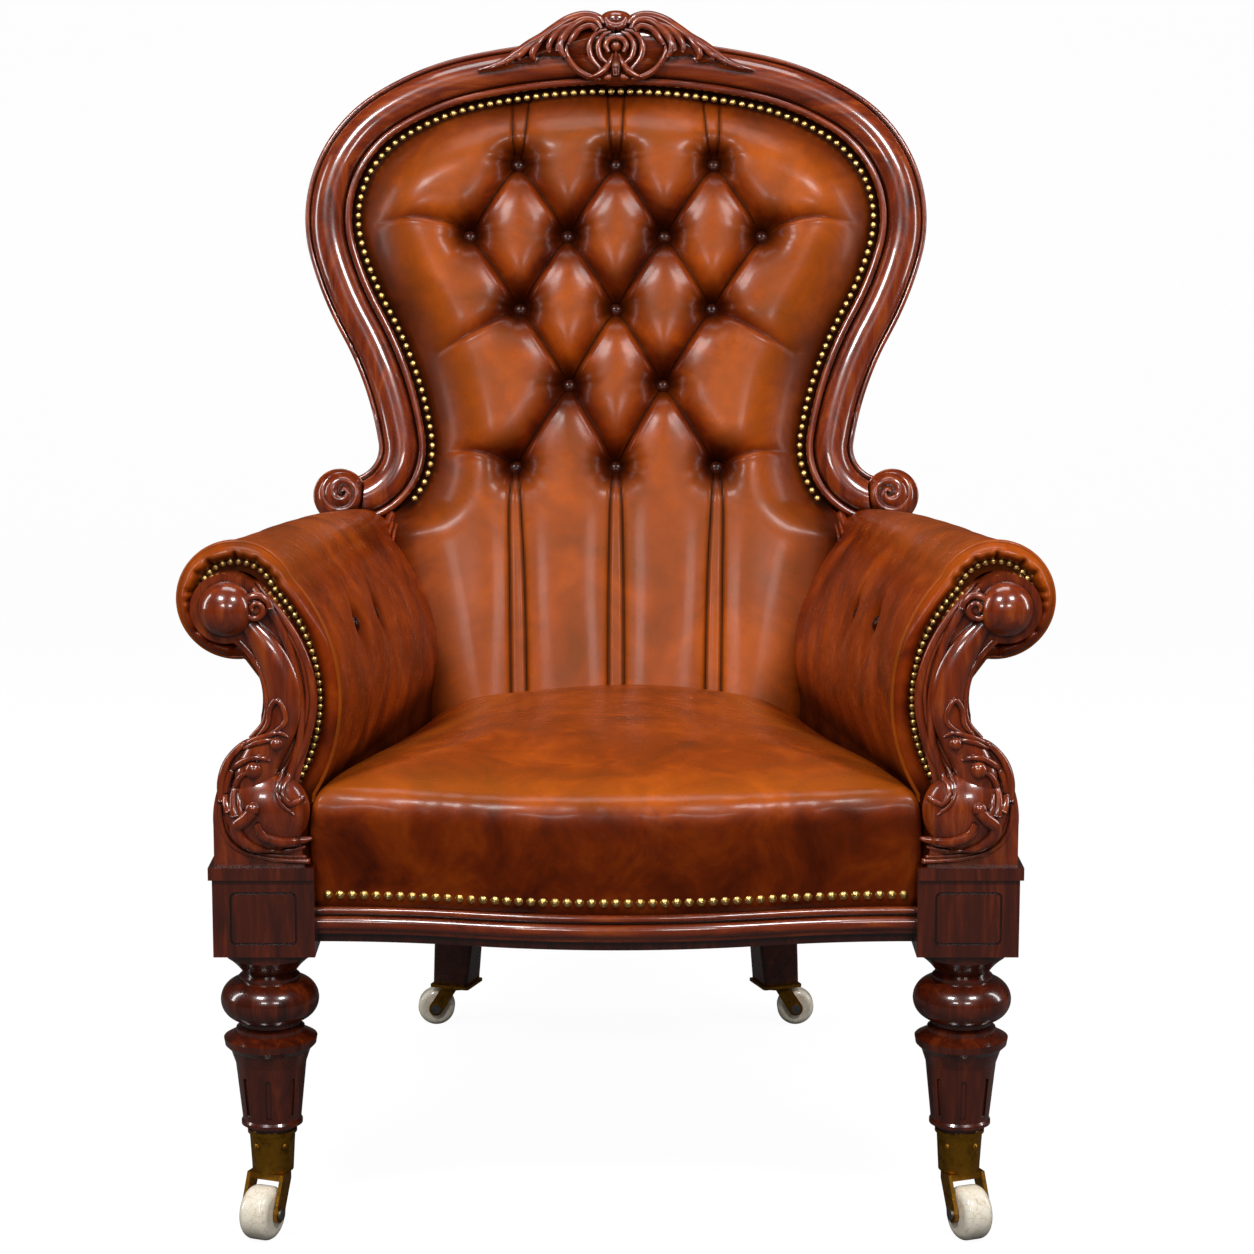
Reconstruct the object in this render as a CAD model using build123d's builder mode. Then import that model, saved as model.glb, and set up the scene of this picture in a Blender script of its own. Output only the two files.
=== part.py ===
from build123d import *
import os
from math import asin, atan2, cos, degrees, hypot, radians, sin

# Deep-buttoned leather armchair with a show-wood frame, on four castors.
# Millimetres, +Z up, the front of the chair towards -Y, right as seen from the front is +X.
# The origin is on the floor at the middle of the chair's outline.

os.makedirs("parts", exist_ok=True)

# Places of the main members
front_leg_y = -322
front_leg_x = 304
rail_bottom = 268
rail_top = 338
back_setback = 545
back_y = front_leg_y + back_setback
back_z = 600
rake = 14
overrun = 6
seat_gap = 0.3

# Back frame, drawn in the raked plane as radii and turns of its centre line
frame_top = 434
frame_width = 48
frame_front = 12
frame_back = -28
crest_arcs = [(676, -12.75), (266, -20.2), (130, -30.6)]
stile_arcs = [(130, -42.1), (350, -13.2), (365, 19.8), (55, 92)]
bead_height = 5
bead_width = 7
ovolo_height = 12
quirk_depth = 3
outer_bead_width = 5

# Scrolls that end the stiles
volute_x = 281
volute_t = -14
volute_radius = 27
volute_front = 24
volute_back = -26
volute_rounding = 9
volute_wire = 3
volute_turn_radii = [19, 14, 9]

# Carving on the crest
crest_carving_half = 142
crest_tip_drop = 10
crest_top_rise = 27
crest_carving_tip = frame_top - crest_tip_drop
crest_carving_top = frame_top + crest_top_rise
crest_carving_bottom = frame_top - frame_width / 2
crest_carving_depth = 9
shell_radius = 31
shell_rise = 12
shell_height = frame_top + shell_rise
crest_scroll_radius = 22
crest_scroll_x = 44
finial_radius = 17
finial_flat_share = 0.55
finial_rise = 18
finial_height = crest_carving_top + finial_rise
finial_neck_radius = 7

# Back upholstery
pad_clearance = 0.3
pad_back = -2
pad_flange = 8
pad_crown = 44
pad_bottom = -252
pad_flare_radius = 55
pad_flare_turn = 50
pad_shoulder_radius = 75
pad_shoulder_turn = 52
pad_insets = [13, 20, 42]
pad_rise_shares = [0, 0.55, 1]
button_radius = 7
button_height = 5
tuft_radius = 21
tuft_floor = 9
tuft_depth = 20
channel_width = 8
channel_depth = 7
channel_taper = 22
button_rows = [(325, [-100, 0, 100]), (251, [-149, -49.5, 49.5, 149]), (176, [-97.5, 0, 97.5]),
               (98, [-47.5, 47.5]), (14, [-102, 0, 102])]
panel_depth = 26
panel_edge_inset = 4
panel_round = 12
panel_foot_x = 172
panel_foot_t = -318

# Back uprights, boards behind the stiles
upright_width = 36
upright_thickness = 22
upright_foot_x = 150
upright_foot_t = -272
upright_head_x = 262
upright_head_t = 296

# Brass nails
nail_radius = 3
nail_height = 2
nail_pitch = 9
nail_inset = 6
rail_nail_radius = 4.2
rail_nail_height = 2.6
rail_nail_count = 49
rail_nail_z = 313
rail_nail_half = 252
nail_lift = 0.05
arm_nail_radius = 2.6
arm_nail_height = 1.8
arm_nail_pitch = 6.6

# Seat frame
bow = 30
bow_reach = 60
bow_front = front_leg_y - bow_reach
bow_half = 260
border_setback = 8
border_thickness = 12
side_rail_thickness = 30
side_rail_front_x = 284
rear_rail_thickness = 25
rail_moulding_bottom = 279
rail_moulding_top = 303
corner_block_leg = 62
webbing_width = 50
webbing_thickness = 2
webbing_pitch = 78
strap_count = 5
webbing_lap = 12
spring_rows = 3
spring_wire = 1.7
spring_end_radius = 36
spring_waist_radius = 24
spring_turns = 4
canvas_thickness = 1.5
dust_cover_thickness = 1.2

# Seat pad
seat_side_step = 42
seat_half_front = front_leg_x - seat_side_step
seat_half_rear = 178
seat_reach = 500
seat_rear_y = front_leg_y + seat_reach
seat_crown_height = 432
seat_crown_insets = [2, 0, 3, 26, 78]
seat_crown_shares = [0, 0.25, 0.55, 0.82, 1]

# Arms: the section's sizes at the front and at the rear
arm_front_step = 12
arm_reach = 548
arm_front_y = front_leg_y - arm_front_step
arm_rear_y = front_leg_y + arm_reach
roll_front = (325, 571, 50)
roll_rear = (256, 520, 36)
arm_inner_front = seat_half_front
arm_inner_rear = 170
arm_belly_front = 238
arm_belly_rear = 184
arm_belly_height = 488
arm_neck_front = (298, 494)
arm_neck_rear = (230, 470)
arm_foot_front = 313
arm_foot_rear = 178
arm_seat_height = 400
roll_start_angle = 157
roll_bottom_angle = -98
roll_puff = 16
outside_arm_thickness = 5
arm_rail_width = 30
arm_rail_height = 24
arm_rail_front = (296, 556)
arm_rail_rear = (247, 520)
stump_width = 29
stump_depth = 36
stump_top = 541.5
arm_button_radius = 6.5
arm_button_places = [(0.26, 526), (0.44, 518)]
arm_pocket_depth = 3
arm_pocket_rim = 2

# Carved arm fronts: outlines as shares of the leg block's width and of the height to the boss
facing_depth = 26
boss_radius = 22
boss_x = 332
boss_z = 567
boss_rise = 20
boss_collar = 8
boss_ring = 3
facing_outer_shares = [(0.295, 0.884), (0.034, 0.769), (-0.011, 0.591), (0.045, 0.507), (0.227, 0.436),
                       (0.409, 0.324), (0.477, 0.16), (0.477, 0)]
facing_inner_shares = [(-0.409, 0), (-0.318, 0.253), (-0.375, 0.347), (-0.477, 0.48), (-0.5, 0.644),
                       (-0.42, 0.813), (-0.261, 0.969), (-0.045, 1.076), (0.136, 1.111)]
knee_block_depth = 42
knee_inner_share = 0.13
rib_inset = 9
rib_radius = 4
leaf_depth = 8
leaf_width = 26
leaf_shares = [((-0.1, 0.02), (-0.2, 0.36)), ((0, 0.02), (0.05, 0.44)), ((0.1, 0.02), (0.36, 0.36)),
               ((0.05, 0.1), (0.42, 0.14)), ((-0.05, 0.1), (-0.36, 0.12))]

# Front legs: block, turning and fluted taper
block_width = 88
block_depth = 82
block_bottom = 262
block_top = 331
ledge_height = 11
ledge_proud = 3
panel_width = 58
panel_height = 47
panel_corner = 5
panel_groove = 2
leg_turning = [(37.5, 262), (37.5, 254), (23, 239), (26.5, 236), (26.5, 233), (43, 216), (26.5, 196),
               (26, 192), (30, 189), (30, 186), (41, 180), (40, 174), (35, 169), (31, 157), (25.7, 106),
               (27, 104), (27, 101), (20.5, 101), (20.5, 96)]
tenon_radius = 17
tenon_bottom = 67.5
flute_count = 8
flute_width = 5
flute_depth = 1.6
flute_bottom = 110
flute_top = 147

# Rear legs
rear_foot_x = 172
rear_foot_setback = 640
rear_foot_y = front_leg_y + rear_foot_setback
rear_foot_turn = 20
rear_foot_side = 39
rear_knee_side = 44
rear_block_side = 48
rear_top_x = 158
rear_top_setback = 520
rear_top_y = front_leg_y + rear_top_setback
rear_leg_bow_share = 0.42

# Castors
cup_rim_radius = 21
cup_foot_radius = 18.2
cup_bottom = 58
cup_top = 96
cup_floor = 5.5
cup_bead = 1.6
screw_radius = 3.2
screw_head = 1.2
screw_height = 82
pivot_radius = 5
pivot_clearance = 0.06
pivot_head_radius = 8
pivot_head = 2
crown_gap = 0.5
crown_thickness = 6
crown_radius = 15
wheel_radius = 24
wheel_width = 27
wheel_round = 8
wheel_side_gap = 1
cheek_thickness = 3.4
cheek_width = 15
trail = 21.5
front_trail_angle = 21.8
axle_radius = 3
axle_clearance = 0.05
axle_head_radius = 5
axle_head = 2
rear_wheel_radius = 19.5
rear_wheel_width = 22
rear_wheel_round = 6
rear_trail_angle = 90
screw_turns = [-50, -130]
rear_plate_side = 44
rear_plate_thickness = 3
rear_plate_top = 46.5
rear_crown_thickness = 3


# Shared planes and small helpers

back_normal = (0, -cos(radians(rake)), sin(radians(rake)))
back_plane = Plane(origin=(0, back_y, back_z), x_dir=(1, 0, 0), z_dir=back_normal)
half_frame = frame_width / 2


def save(piece, name):
    """Label a finished piece and write it under its own name."""
    piece.part.label = name
    export_step(piece.part, f"parts/{name}.step")


def mirrored(piece):
    """The same piece on the other side of the chair."""
    with BuildPart() as other:
        mirror(piece.part, about=Plane.YZ)
    return other


def mirrored_part(shape):
    """A shape's mirror image across the middle of the chair."""
    return shape.mirror(Plane.YZ)


def draw_arcs(start, heading, arcs, outward=0):
    """Draw tangent arcs one after another and return the last; a turn to the right is negative."""
    for radius, turn in arcs:
        bend = radius + outward if turn < 0 else radius - outward
        arc = JernArc(start, heading, bend, turn)
        start = arc @ 1
        heading = arc % 1
    return arc


def shoulder_of(outward):
    """The end and the heading of the crest's arcs at a distance outside the centre line."""
    with BuildLine() as trial:
        last = draw_arcs((0, frame_top + outward), (1, 0), crest_arcs, outward)
    return last @ 1, last % 1


def between(front_value, rear_value, y):
    """A size that runs evenly from the arm's front to its rear."""
    share = (y - arm_front_y) / (arm_rear_y - arm_front_y)
    return front_value + (rear_value - front_value) * share


def between_heights(upper, lower, height):
    """The radius at a height between two points of a turned outline."""
    share = (height - lower[1]) / (upper[1] - lower[1])
    return lower[0] + (upper[0] - lower[0]) * share


def upright_plane(y):
    """The plane across the chair at y, with x to the right and y up."""
    return Plane(origin=(0, y, 0), x_dir=(1, 0, 0), z_dir=(0, -1, 0))


def dome(radius, height):
    """A nail's head, a low dome on its flat."""
    bend = (radius ** 2 + height ** 2) / (2 * height)
    with BuildPart() as head:
        with BuildSketch(Plane.XZ):
            with BuildLine():
                RadiusArc((radius, 0), (0, height), -bend)
                Line((0, height), (0, 0))
                Line((0, 0), (radius, 0))
            make_face()
        revolve(axis=Axis.Z)
    return head.part


# Crest rail

crest_end, crest_heading = shoulder_of(0)


def frame_section():
    """The moulded section: forwards is x, outwards is y."""
    inner = -half_frame
    inner_quirk = inner + bead_width
    outer_quirk = half_frame - outer_bead_width
    low = frame_front - quirk_depth
    with BuildSketch() as section:
        with BuildLine():
            Line((frame_back, half_frame), (frame_back, inner))
            Line((frame_back, inner), (frame_front, inner))
            ThreePointArc((frame_front, inner), (frame_front + bead_height, inner + bead_width / 2),
                          (frame_front, inner_quirk))
            Line((frame_front, inner_quirk), (low, inner_quirk))
            ThreePointArc((low, inner_quirk), (low + ovolo_height, (inner_quirk + outer_quirk) / 2),
                          (low, outer_quirk))
            ThreePointArc((low, outer_quirk), (frame_front, outer_quirk + outer_bead_width / 2),
                          (low, half_frame))
            Line((low, half_frame), (frame_back, half_frame))
        make_face()
    return section.sketch


with BuildLine() as crest_line:
    draw_arcs((0, frame_top), (1, 0), crest_arcs)
crest_path = back_plane.from_local_coords(crest_line.line)
top_point = back_plane.from_local_coords(Vector(0, frame_top, 0))

with BuildPart() as crest_rail:
    with BuildSketch(Plane(origin=top_point, x_dir=back_normal, z_dir=(-1, 0, 0))):
        add(frame_section())
    sweep(path=crest_path)
    mirror(about=Plane.YZ)
save(crest_rail, "crest_rail")


# Stiles, from the shoulder joints to the scrolls

with BuildLine() as stile_line:
    draw_arcs(crest_end, crest_heading, stile_arcs)
stile_path = back_plane.from_local_coords(stile_line.line)
joint_point = back_plane.from_local_coords(Vector(crest_end.X, crest_end.Y, 0))
joint_direction = (back_plane.from_local_coords(Vector(crest_heading.X, crest_heading.Y, 0))
                   - back_plane.origin)

with BuildPart() as volute_core:
    with BuildSketch(back_plane.offset(volute_back)):
        with Locations((volute_x, volute_t)):
            Circle(volute_radius)
    extrude(amount=volute_front - volute_back)
    fillet(volute_core.edges().filter_by(GeomType.CIRCLE), volute_rounding)

with BuildPart() as back_stile_right:
    with BuildSketch(Plane(origin=joint_point, x_dir=back_normal, z_dir=joint_direction * -1)):
        add(frame_section())
    sweep(path=stile_path)
    add(volute_core.part, mode=Mode.SUBTRACT)
save(back_stile_right, "back_stile_right")
save(mirrored(back_stile_right), "back_stile_left")


# Scrolls: a rounded roll with a raised coil on its front

def coil_line(radii):
    """Half turns of shrinking radius, as the wire of a scroll."""
    with BuildLine() as coil:
        start = Vector(radii[0], 0)
        side = -1
        for radius, following in zip(radii, radii[1:]):
            end = Vector(side * following, 0)
            middle = Vector((start.X + end.X) / 2, side * (radius + following) / 2)
            ThreePointArc(start, middle, end)
            start = end
            side = -side
    return coil.line


volute_plane = Plane(back_plane * Location((volute_x, volute_t, volute_front)))
with BuildPart() as stile_volute_right:
    add(volute_core.part)
    coil_path = volute_plane.from_local_coords(coil_line(volute_turn_radii))
    coil_start = volute_plane.from_local_coords(Vector(volute_turn_radii[0], 0, 0))
    coil_heading = (back_plane.from_local_coords(Vector(0, 1, 0)) - back_plane.origin)
    with BuildSketch(Plane(origin=coil_start, x_dir=(1, 0, 0), z_dir=coil_heading)):
        Circle(volute_wire)
    sweep(path=coil_path)
save(stile_volute_right, "stile_volute_right")
save(mirrored(stile_volute_right), "stile_volute_left")


# Crest carving: a cartouche shell between scrolls, with leaf tips that taper along the rail

carving_front = frame_front + ovolo_height + crest_carving_depth
shoulder_height = crest_carving_top - crest_scroll_radius
with BuildPart() as crest_carving:
    with BuildSketch(back_plane.offset(frame_back + crest_carving_depth)) as carving_outline:
        with BuildLine():
            tip = (crest_carving_half, crest_carving_tip)
            upper = (crest_scroll_x + crest_scroll_radius, shoulder_height)
            low_centre = (0, crest_carving_bottom)
            hollow = ((tip[0] + upper[0]) / 2, (tip[1] + upper[1]) / 2 - crest_carving_depth / 2)
            ThreePointArc(tip, hollow, upper)
            crown = (0, crest_carving_top + crest_carving_depth / 2)
            ThreePointArc(upper, (crest_scroll_x, crest_carving_top), crown)
            mirror(about=Plane.YZ)
            ThreePointArc(tip, low_centre, (-tip[0], tip[1]))
        make_face()
    extrude(amount=carving_front - frame_back - crest_carving_depth)
    with BuildSketch(back_plane.offset(carving_front)):
        with Locations((0, shell_height)):
            Circle(shell_radius)
        with Locations((crest_scroll_x, shell_height), (-crest_scroll_x, shell_height)):
            Circle(crest_scroll_radius)
    extrude(amount=crest_carving_depth / 2)
    with BuildSketch(back_plane.offset(carving_front + crest_carving_depth / 2)):
        with Locations((0, shell_height)):
            Circle(shell_radius * 2 / 3)
            Circle(shell_radius / 2, mode=Mode.SUBTRACT)
            Circle(shell_radius / 3)
        with Locations((crest_scroll_x, shell_height), (-crest_scroll_x, shell_height)):
            Circle(crest_scroll_radius * 2 / 3)
            Circle(crest_scroll_radius / 3, mode=Mode.SUBTRACT)
    extrude(amount=crest_carving_depth / 3)
    add(crest_rail.part, mode=Mode.SUBTRACT)
save(crest_carving, "crest_carving")

finial_foot = back_plane.from_local_coords(Vector(0, finial_height, 0))
up_plane = back_plane.from_local_coords(Vector(0, 1, 0)) - back_plane.origin
finial_half = finial_radius * finial_flat_share
with BuildPart() as crest_finial:
    with BuildSketch(Plane(origin=finial_foot, x_dir=(1, 0, 0), z_dir=back_normal)):
        with BuildLine():
            neck_end = finial_height - crest_carving_top - crest_carving_depth / 2
            neck_top = (finial_neck_radius, -finial_half)
            Line((0, finial_half), (0, -neck_end))
            Line((0, -neck_end), (finial_neck_radius, -neck_end))
            Line((finial_neck_radius, -neck_end), neck_top)
            ThreePointArc(neck_top, (finial_radius, 0), (finial_neck_radius, finial_half))
            Line((finial_neck_radius, finial_half), (0, finial_half))
        make_face()
    revolve(axis=Axis(finial_foot, up_plane))
    add(crest_carving.part, mode=Mode.SUBTRACT)
save(crest_finial, "crest_finial")


# Back pad: a flange under the nails, a crowned face, tufts and channels

def pad_outline(inset):
    """The pad's outline in the raked plane at an inset from the frame's inner edge."""
    outward = -(half_frame + pad_clearance + inset)
    with BuildSketch() as outline:
        with BuildLine():
            last = draw_arcs((0, frame_top + outward), (1, 0), crest_arcs + stile_arcs[:-1], outward)
            flare = JernArc(last @ 1, last % 1, pad_flare_radius + half_frame + inset, pad_flare_turn)
            shoulder = JernArc(flare @ 1, flare % 1, pad_shoulder_radius - inset, -pad_shoulder_turn)
            corner = shoulder @ 1
            slope = shoulder % 1
            foot_x = corner.X + slope.X / slope.Y * (pad_bottom - corner.Y)
            Line(corner, (foot_x, pad_bottom))
            Line((foot_x, pad_bottom), (0, pad_bottom))
            mirror(about=Plane.YZ)
        make_face()
    return outline.sketch


def channel(start, end):
    """A V-shaped channel between two places on the pad's face."""
    length = hypot(end[0] - start[0], end[1] - start[1])
    middle = ((start[0] + end[0]) / 2, (start[1] + end[1]) / 2)
    turn = degrees(atan2(end[1] - start[1], end[0] - start[0]))
    with BuildPart() as cut:
        with BuildSketch(back_plane.offset(pad_crown)):
            with Locations(Location((middle[0], middle[1], 0), (0, 0, turn))):
                Rectangle(length, channel_width)
        extrude(amount=-channel_depth, taper=channel_taper)
    return cut.part


buttons = [(x, height) for height, places in button_rows for x in places]
with BuildPart() as tuft:
    with BuildSketch(Plane.XZ):
        with BuildLine():
            Line((0, 0), (0, -tuft_depth))
            Line((0, -tuft_depth), (tuft_floor, -tuft_depth))
            lip = ((tuft_floor + tuft_radius) / 2 - tuft_floor / 4, -tuft_depth / 3)
            ThreePointArc((tuft_floor, -tuft_depth), lip, (tuft_radius, 0))
            Line((tuft_radius, 0), (0, 0))
        make_face()
    revolve(axis=Axis.Z)

with BuildPart() as back_pad:
    with BuildSketch(back_plane.offset(pad_back)):
        add(pad_outline(0))
    extrude(amount=pad_flange - pad_back)
    for inset, rise_share in zip(pad_insets, pad_rise_shares):
        with BuildSketch(back_plane.offset(pad_flange + (pad_crown - pad_flange) * rise_share)):
            add(pad_outline(inset))
    loft()
    with Locations(*[back_plane * Location((x, height, pad_crown)) for x, height in buttons]):
        add(tuft.part, mode=Mode.SUBTRACT)
    rows = [[(x, height) for x in places] for height, places in button_rows]
    for row, below in zip(rows, rows[1:]):
        for start in row:
            for end in below:
                if abs(start[0] - end[0]) < tuft_radius * 3:
                    add(channel(start, end), mode=Mode.SUBTRACT)
save(back_pad, "back_pad")


# Back uprights: slanted boards behind the stiles, standing on the rear legs

with BuildPart() as back_upright_right:
    with BuildSketch(back_plane.offset(frame_back)):
        lean = hypot(upright_head_x - upright_foot_x, upright_head_t - upright_foot_t)
        lean_turn = degrees(atan2(upright_head_t - upright_foot_t, upright_head_x - upright_foot_x))
        upright_middle = ((upright_head_x + upright_foot_x) / 2, (upright_head_t + upright_foot_t) / 2, 0)
        with Locations(Location(upright_middle, (0, 0, lean_turn))):
            Rectangle(lean + upright_width, upright_width)
    extrude(amount=-upright_thickness)
    split(bisect_by=Plane.XY.offset(rail_top), keep=Keep.TOP)
save(back_upright_right, "back_upright_right")
back_upright_left = mirrored(back_upright_right)
save(back_upright_left, "back_upright_left")


# Outside back: a lightly stuffed leather panel that laps the uprights

def panel_outline(inset):
    """The outside back's outline at an inset from the frame's outer edge."""
    outward = half_frame - panel_edge_inset - inset
    with BuildSketch() as outline:
        with BuildLine():
            last = draw_arcs((0, frame_top + outward), (1, 0), crest_arcs + stile_arcs[:-1], outward)
            Line(last @ 1, (panel_foot_x - inset, panel_foot_t))
            Line((panel_foot_x - inset, panel_foot_t), (0, panel_foot_t))
            mirror(about=Plane.YZ)
        make_face()
    return outline.sketch


with BuildPart() as outside_back_panel:
    with BuildSketch(back_plane.offset(frame_back)):
        add(panel_outline(0))
    extrude(amount=-panel_depth + panel_round)
    with BuildSketch(back_plane.offset(frame_back - panel_depth + panel_round)):
        add(panel_outline(0))
    with BuildSketch(back_plane.offset(frame_back - panel_depth)):
        add(panel_outline(panel_round))
    loft()
    add(back_upright_right.part, mode=Mode.SUBTRACT)
    add(back_upright_left.part, mode=Mode.SUBTRACT)
    with BuildSketch(Plane.XY.offset(rail_bottom - overrun)):
        with Locations((0, rear_top_y)):
            Rectangle((rear_top_x + rear_block_side) * 2, rear_block_side * 2)
    extrude(amount=rail_top - rail_bottom + overrun, mode=Mode.SUBTRACT)
save(outside_back_panel, "outside_back_panel")


# Front legs

def leg_profile():
    """Half of the turned part's outline, radius and height, from the block down to the cup."""
    points = leg_turning
    with BuildSketch() as profile:
        with BuildLine():
            Line((0, points[0][1]), points[0])
            Line(points[0], points[1])
            hollow_x = points[2][0] + (points[1][0] - points[2][0]) / 4
            hollow = (hollow_x, points[2][1] + (points[1][1] - points[2][1]) / 3)
            ThreePointArc(points[1], hollow, points[2])
            Polyline(points[2], points[3], points[4])
            ThreePointArc(points[4], points[5], points[6])
            Polyline(*points[6:])
            Line(points[-1], (tenon_radius, points[-1][1]))
            Line((tenon_radius, points[-1][1]), (tenon_radius, tenon_bottom))
            Line((tenon_radius, tenon_bottom), (0, tenon_bottom))
            Line((0, tenon_bottom), (0, points[0][1]))
        make_face()
    return profile.sketch


flute_middle = (flute_bottom + flute_top) / 2
flute_radius = between_heights(leg_turning[13], leg_turning[14], flute_middle)
flute_lean = degrees(atan2(leg_turning[13][0] - leg_turning[14][0], leg_turning[13][1] - leg_turning[14][1]))
with BuildPart() as flute:
    with BuildSketch(Plane.YZ.offset(flute_radius)):
        with Locations((0, flute_middle)):
            SlotOverall(flute_top - flute_bottom, flute_width, rotation=90)
    extrude(amount=-flute_depth)
    extrude(flute.faces().sort_by(Axis.X)[-1], amount=overrun)
flute_hinge = Axis((flute_radius, 0, flute_middle), (0, 1, 0))
flute_tool = flute.part.rotate(flute_hinge, flute_lean)

with BuildPart() as front_leg_right:
    with BuildSketch(Plane.XY.offset(block_bottom)):
        Rectangle(block_width, block_depth)
    extrude(amount=block_top - block_bottom)
    with BuildSketch(Plane.XY.offset(block_top)):
        with Locations((ledge_proud / 2, -ledge_proud / 2)):
            Rectangle(block_width + ledge_proud, block_depth + ledge_proud)
    extrude(amount=ledge_height)
    with BuildSketch(Plane.XZ):
        add(leg_profile())
    revolve(axis=Axis.Z)
    with PolarLocations(0, flute_count, start_angle=-90):
        add(flute_tool, mode=Mode.SUBTRACT)
    panel_middle = (block_bottom + block_top) / 2
    for face_plane in (Plane(origin=(0, -block_depth / 2, panel_middle), x_dir=(1, 0, 0), z_dir=(0, -1, 0)),
                       Plane(origin=(block_width / 2, 0, panel_middle), x_dir=(0, 1, 0), z_dir=(1, 0, 0))):
        with BuildSketch(face_plane):
            RectangleRounded(panel_width, panel_height, panel_corner)
            RectangleRounded(panel_width - 2 * panel_groove, panel_height - 2 * panel_groove,
                             panel_corner - panel_groove, mode=Mode.SUBTRACT)
        extrude(amount=-panel_groove, mode=Mode.SUBTRACT)
leg_place = Pos(front_leg_x, front_leg_y, 0)
front_leg_right.part = leg_place * front_leg_right.part
save(front_leg_right, "front_leg_right")
save(mirrored(front_leg_right), "front_leg_left")


# Rear legs: a square block at the rail, then a sabre sweep out and back to the foot

def square_at(x, y, side, turn, height):
    """A leg's square section at a height."""
    with BuildSketch(Plane.XY.offset(height)) as section:
        with Locations(Location((x, y, 0), (0, 0, turn))):
            RectangleRounded(side, side, side / 12)
    return section.sketch


rear_foot_bottom = rear_plate_top
knee_height = (rail_bottom + rear_foot_bottom) / 2
knee_x = rear_top_x + (rear_foot_x - rear_top_x) * rear_leg_bow_share
knee_y = rear_top_y + (rear_foot_y - rear_top_y) * rear_leg_bow_share
with BuildPart() as rear_leg_right:
    with BuildSketch(Plane.XY.offset(rail_bottom)):
        add(square_at(rear_top_x, rear_top_y, rear_block_side, 0, 0))
    extrude(amount=rail_top - rail_bottom)
    sections = [square_at(rear_top_x, rear_top_y, rear_block_side, 0, rail_bottom),
                square_at(knee_x, knee_y, rear_knee_side, rear_foot_turn / 2, knee_height),
                square_at(rear_foot_x, rear_foot_y, rear_foot_side, rear_foot_turn, rear_foot_bottom)]
    loft(sections)
    with Locations(Location((rear_foot_x, rear_foot_y, rear_foot_bottom))):
        Cylinder(pivot_head_radius + pivot_clearance, pivot_head * 2,
                 align=(Align.CENTER, Align.CENTER, Align.MIN), mode=Mode.SUBTRACT)
save(rear_leg_right, "rear_leg_right")
save(mirrored(rear_leg_right), "rear_leg_left")


# Seat frame

bow_radius = ((bow_half / 2) ** 2 + (bow / 2) ** 2) / bow
bow_turn = degrees(2 * atan2(bow / 2, bow_half / 2))


def bow_curve(setback):
    """The whole serpentine front at a distance behind its nose."""
    with BuildLine() as curve:
        nose = JernArc((0, bow_front + setback), (1, 0), bow_radius - setback, bow_turn)
        JernArc(nose @ 1, nose % 1, bow_radius + setback, -bow_turn)
        mirror(about=Plane.YZ)
    return curve.line


def bow_region(setback, rear_y):
    """The plan area between the serpentine front and a straight back."""
    with BuildSketch() as area:
        with BuildLine():
            nose = JernArc((0, bow_front + setback), (1, 0), bow_radius - setback, bow_turn)
            wing = JernArc(nose @ 1, nose % 1, bow_radius + setback, -bow_turn)
            end = wing @ 1
            Line(end, (end.X, rear_y))
            Line((end.X, rear_y), (0, rear_y))
            mirror(about=Plane.YZ)
        make_face()
    return area.sketch


block_inner = front_leg_x - block_width / 2
block_rear = front_leg_y + block_depth / 2
border_front = border_setback
rail_front = border_setback + border_thickness
side_rail_rear_x = rear_top_x + rear_block_side / 2 - side_rail_thickness / 2

with BuildPart() as front_seat_rail:
    with BuildSketch(Plane.XY.offset(rail_bottom)):
        add(bow_region(rail_front, block_rear - overrun))
    extrude(amount=rail_top - rail_bottom)
save(front_seat_rail, "front_seat_rail")

with BuildPart() as back_seat_rail:
    with BuildSketch(Plane.XY.offset(rail_bottom)):
        with Locations((0, rear_top_y)):
            Rectangle(2 * rear_top_x - rear_block_side, rear_rail_thickness)
    extrude(amount=rail_top - rail_bottom)
save(back_seat_rail, "back_seat_rail")

# The moulding under the seat front, swept along the serpentine
moulding_height = rail_moulding_top - rail_moulding_bottom
with BuildPart() as front_rail_moulding:
    with BuildSketch(Plane(origin=(block_inner, bow_front + bow + rail_front, rail_moulding_bottom),
                           x_dir=(0, -1, 0), z_dir=(-1, 0, 0))):
        with BuildLine():
            bead = moulding_height / 4
            nose = rail_front
            upper_bead_foot = moulding_height - bead - quirk_depth / 2
            Line((0, 0), (0, moulding_height))
            Line((0, moulding_height), (nose - bead, moulding_height))
            ThreePointArc((nose - bead, moulding_height), (nose - bead / 4, moulding_height - bead / 2),
                          (nose - bead, moulding_height - bead))
            Line((nose - bead, moulding_height - bead), (nose - bead, upper_bead_foot))
            ThreePointArc((nose - bead, upper_bead_foot),
                          (nose, moulding_height / 2 - bead / 2), (nose - bead, bead / 2))
            Line((nose - bead, bead / 2), (nose - bead, 0))
            Line((nose - bead, 0), (0, 0))
        make_face()
    moulding_path = Pos(0, 0, rail_moulding_bottom) * bow_curve(rail_front)
    sweep(path=moulding_path)
save(front_rail_moulding, "front_rail_moulding")

rear_block_front = rear_top_y - rear_block_side / 2
rear_rail_front = rear_top_y - rear_rail_thickness / 2
front_rail_rear = block_rear - overrun


def inner_half(y):
    """Half of the clear width between the side rails at y."""
    share = (y - block_rear) / (rear_block_front - block_rear)
    return side_rail_front_x + (side_rail_rear_x - side_rail_front_x) * share - side_rail_thickness / 2


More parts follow.
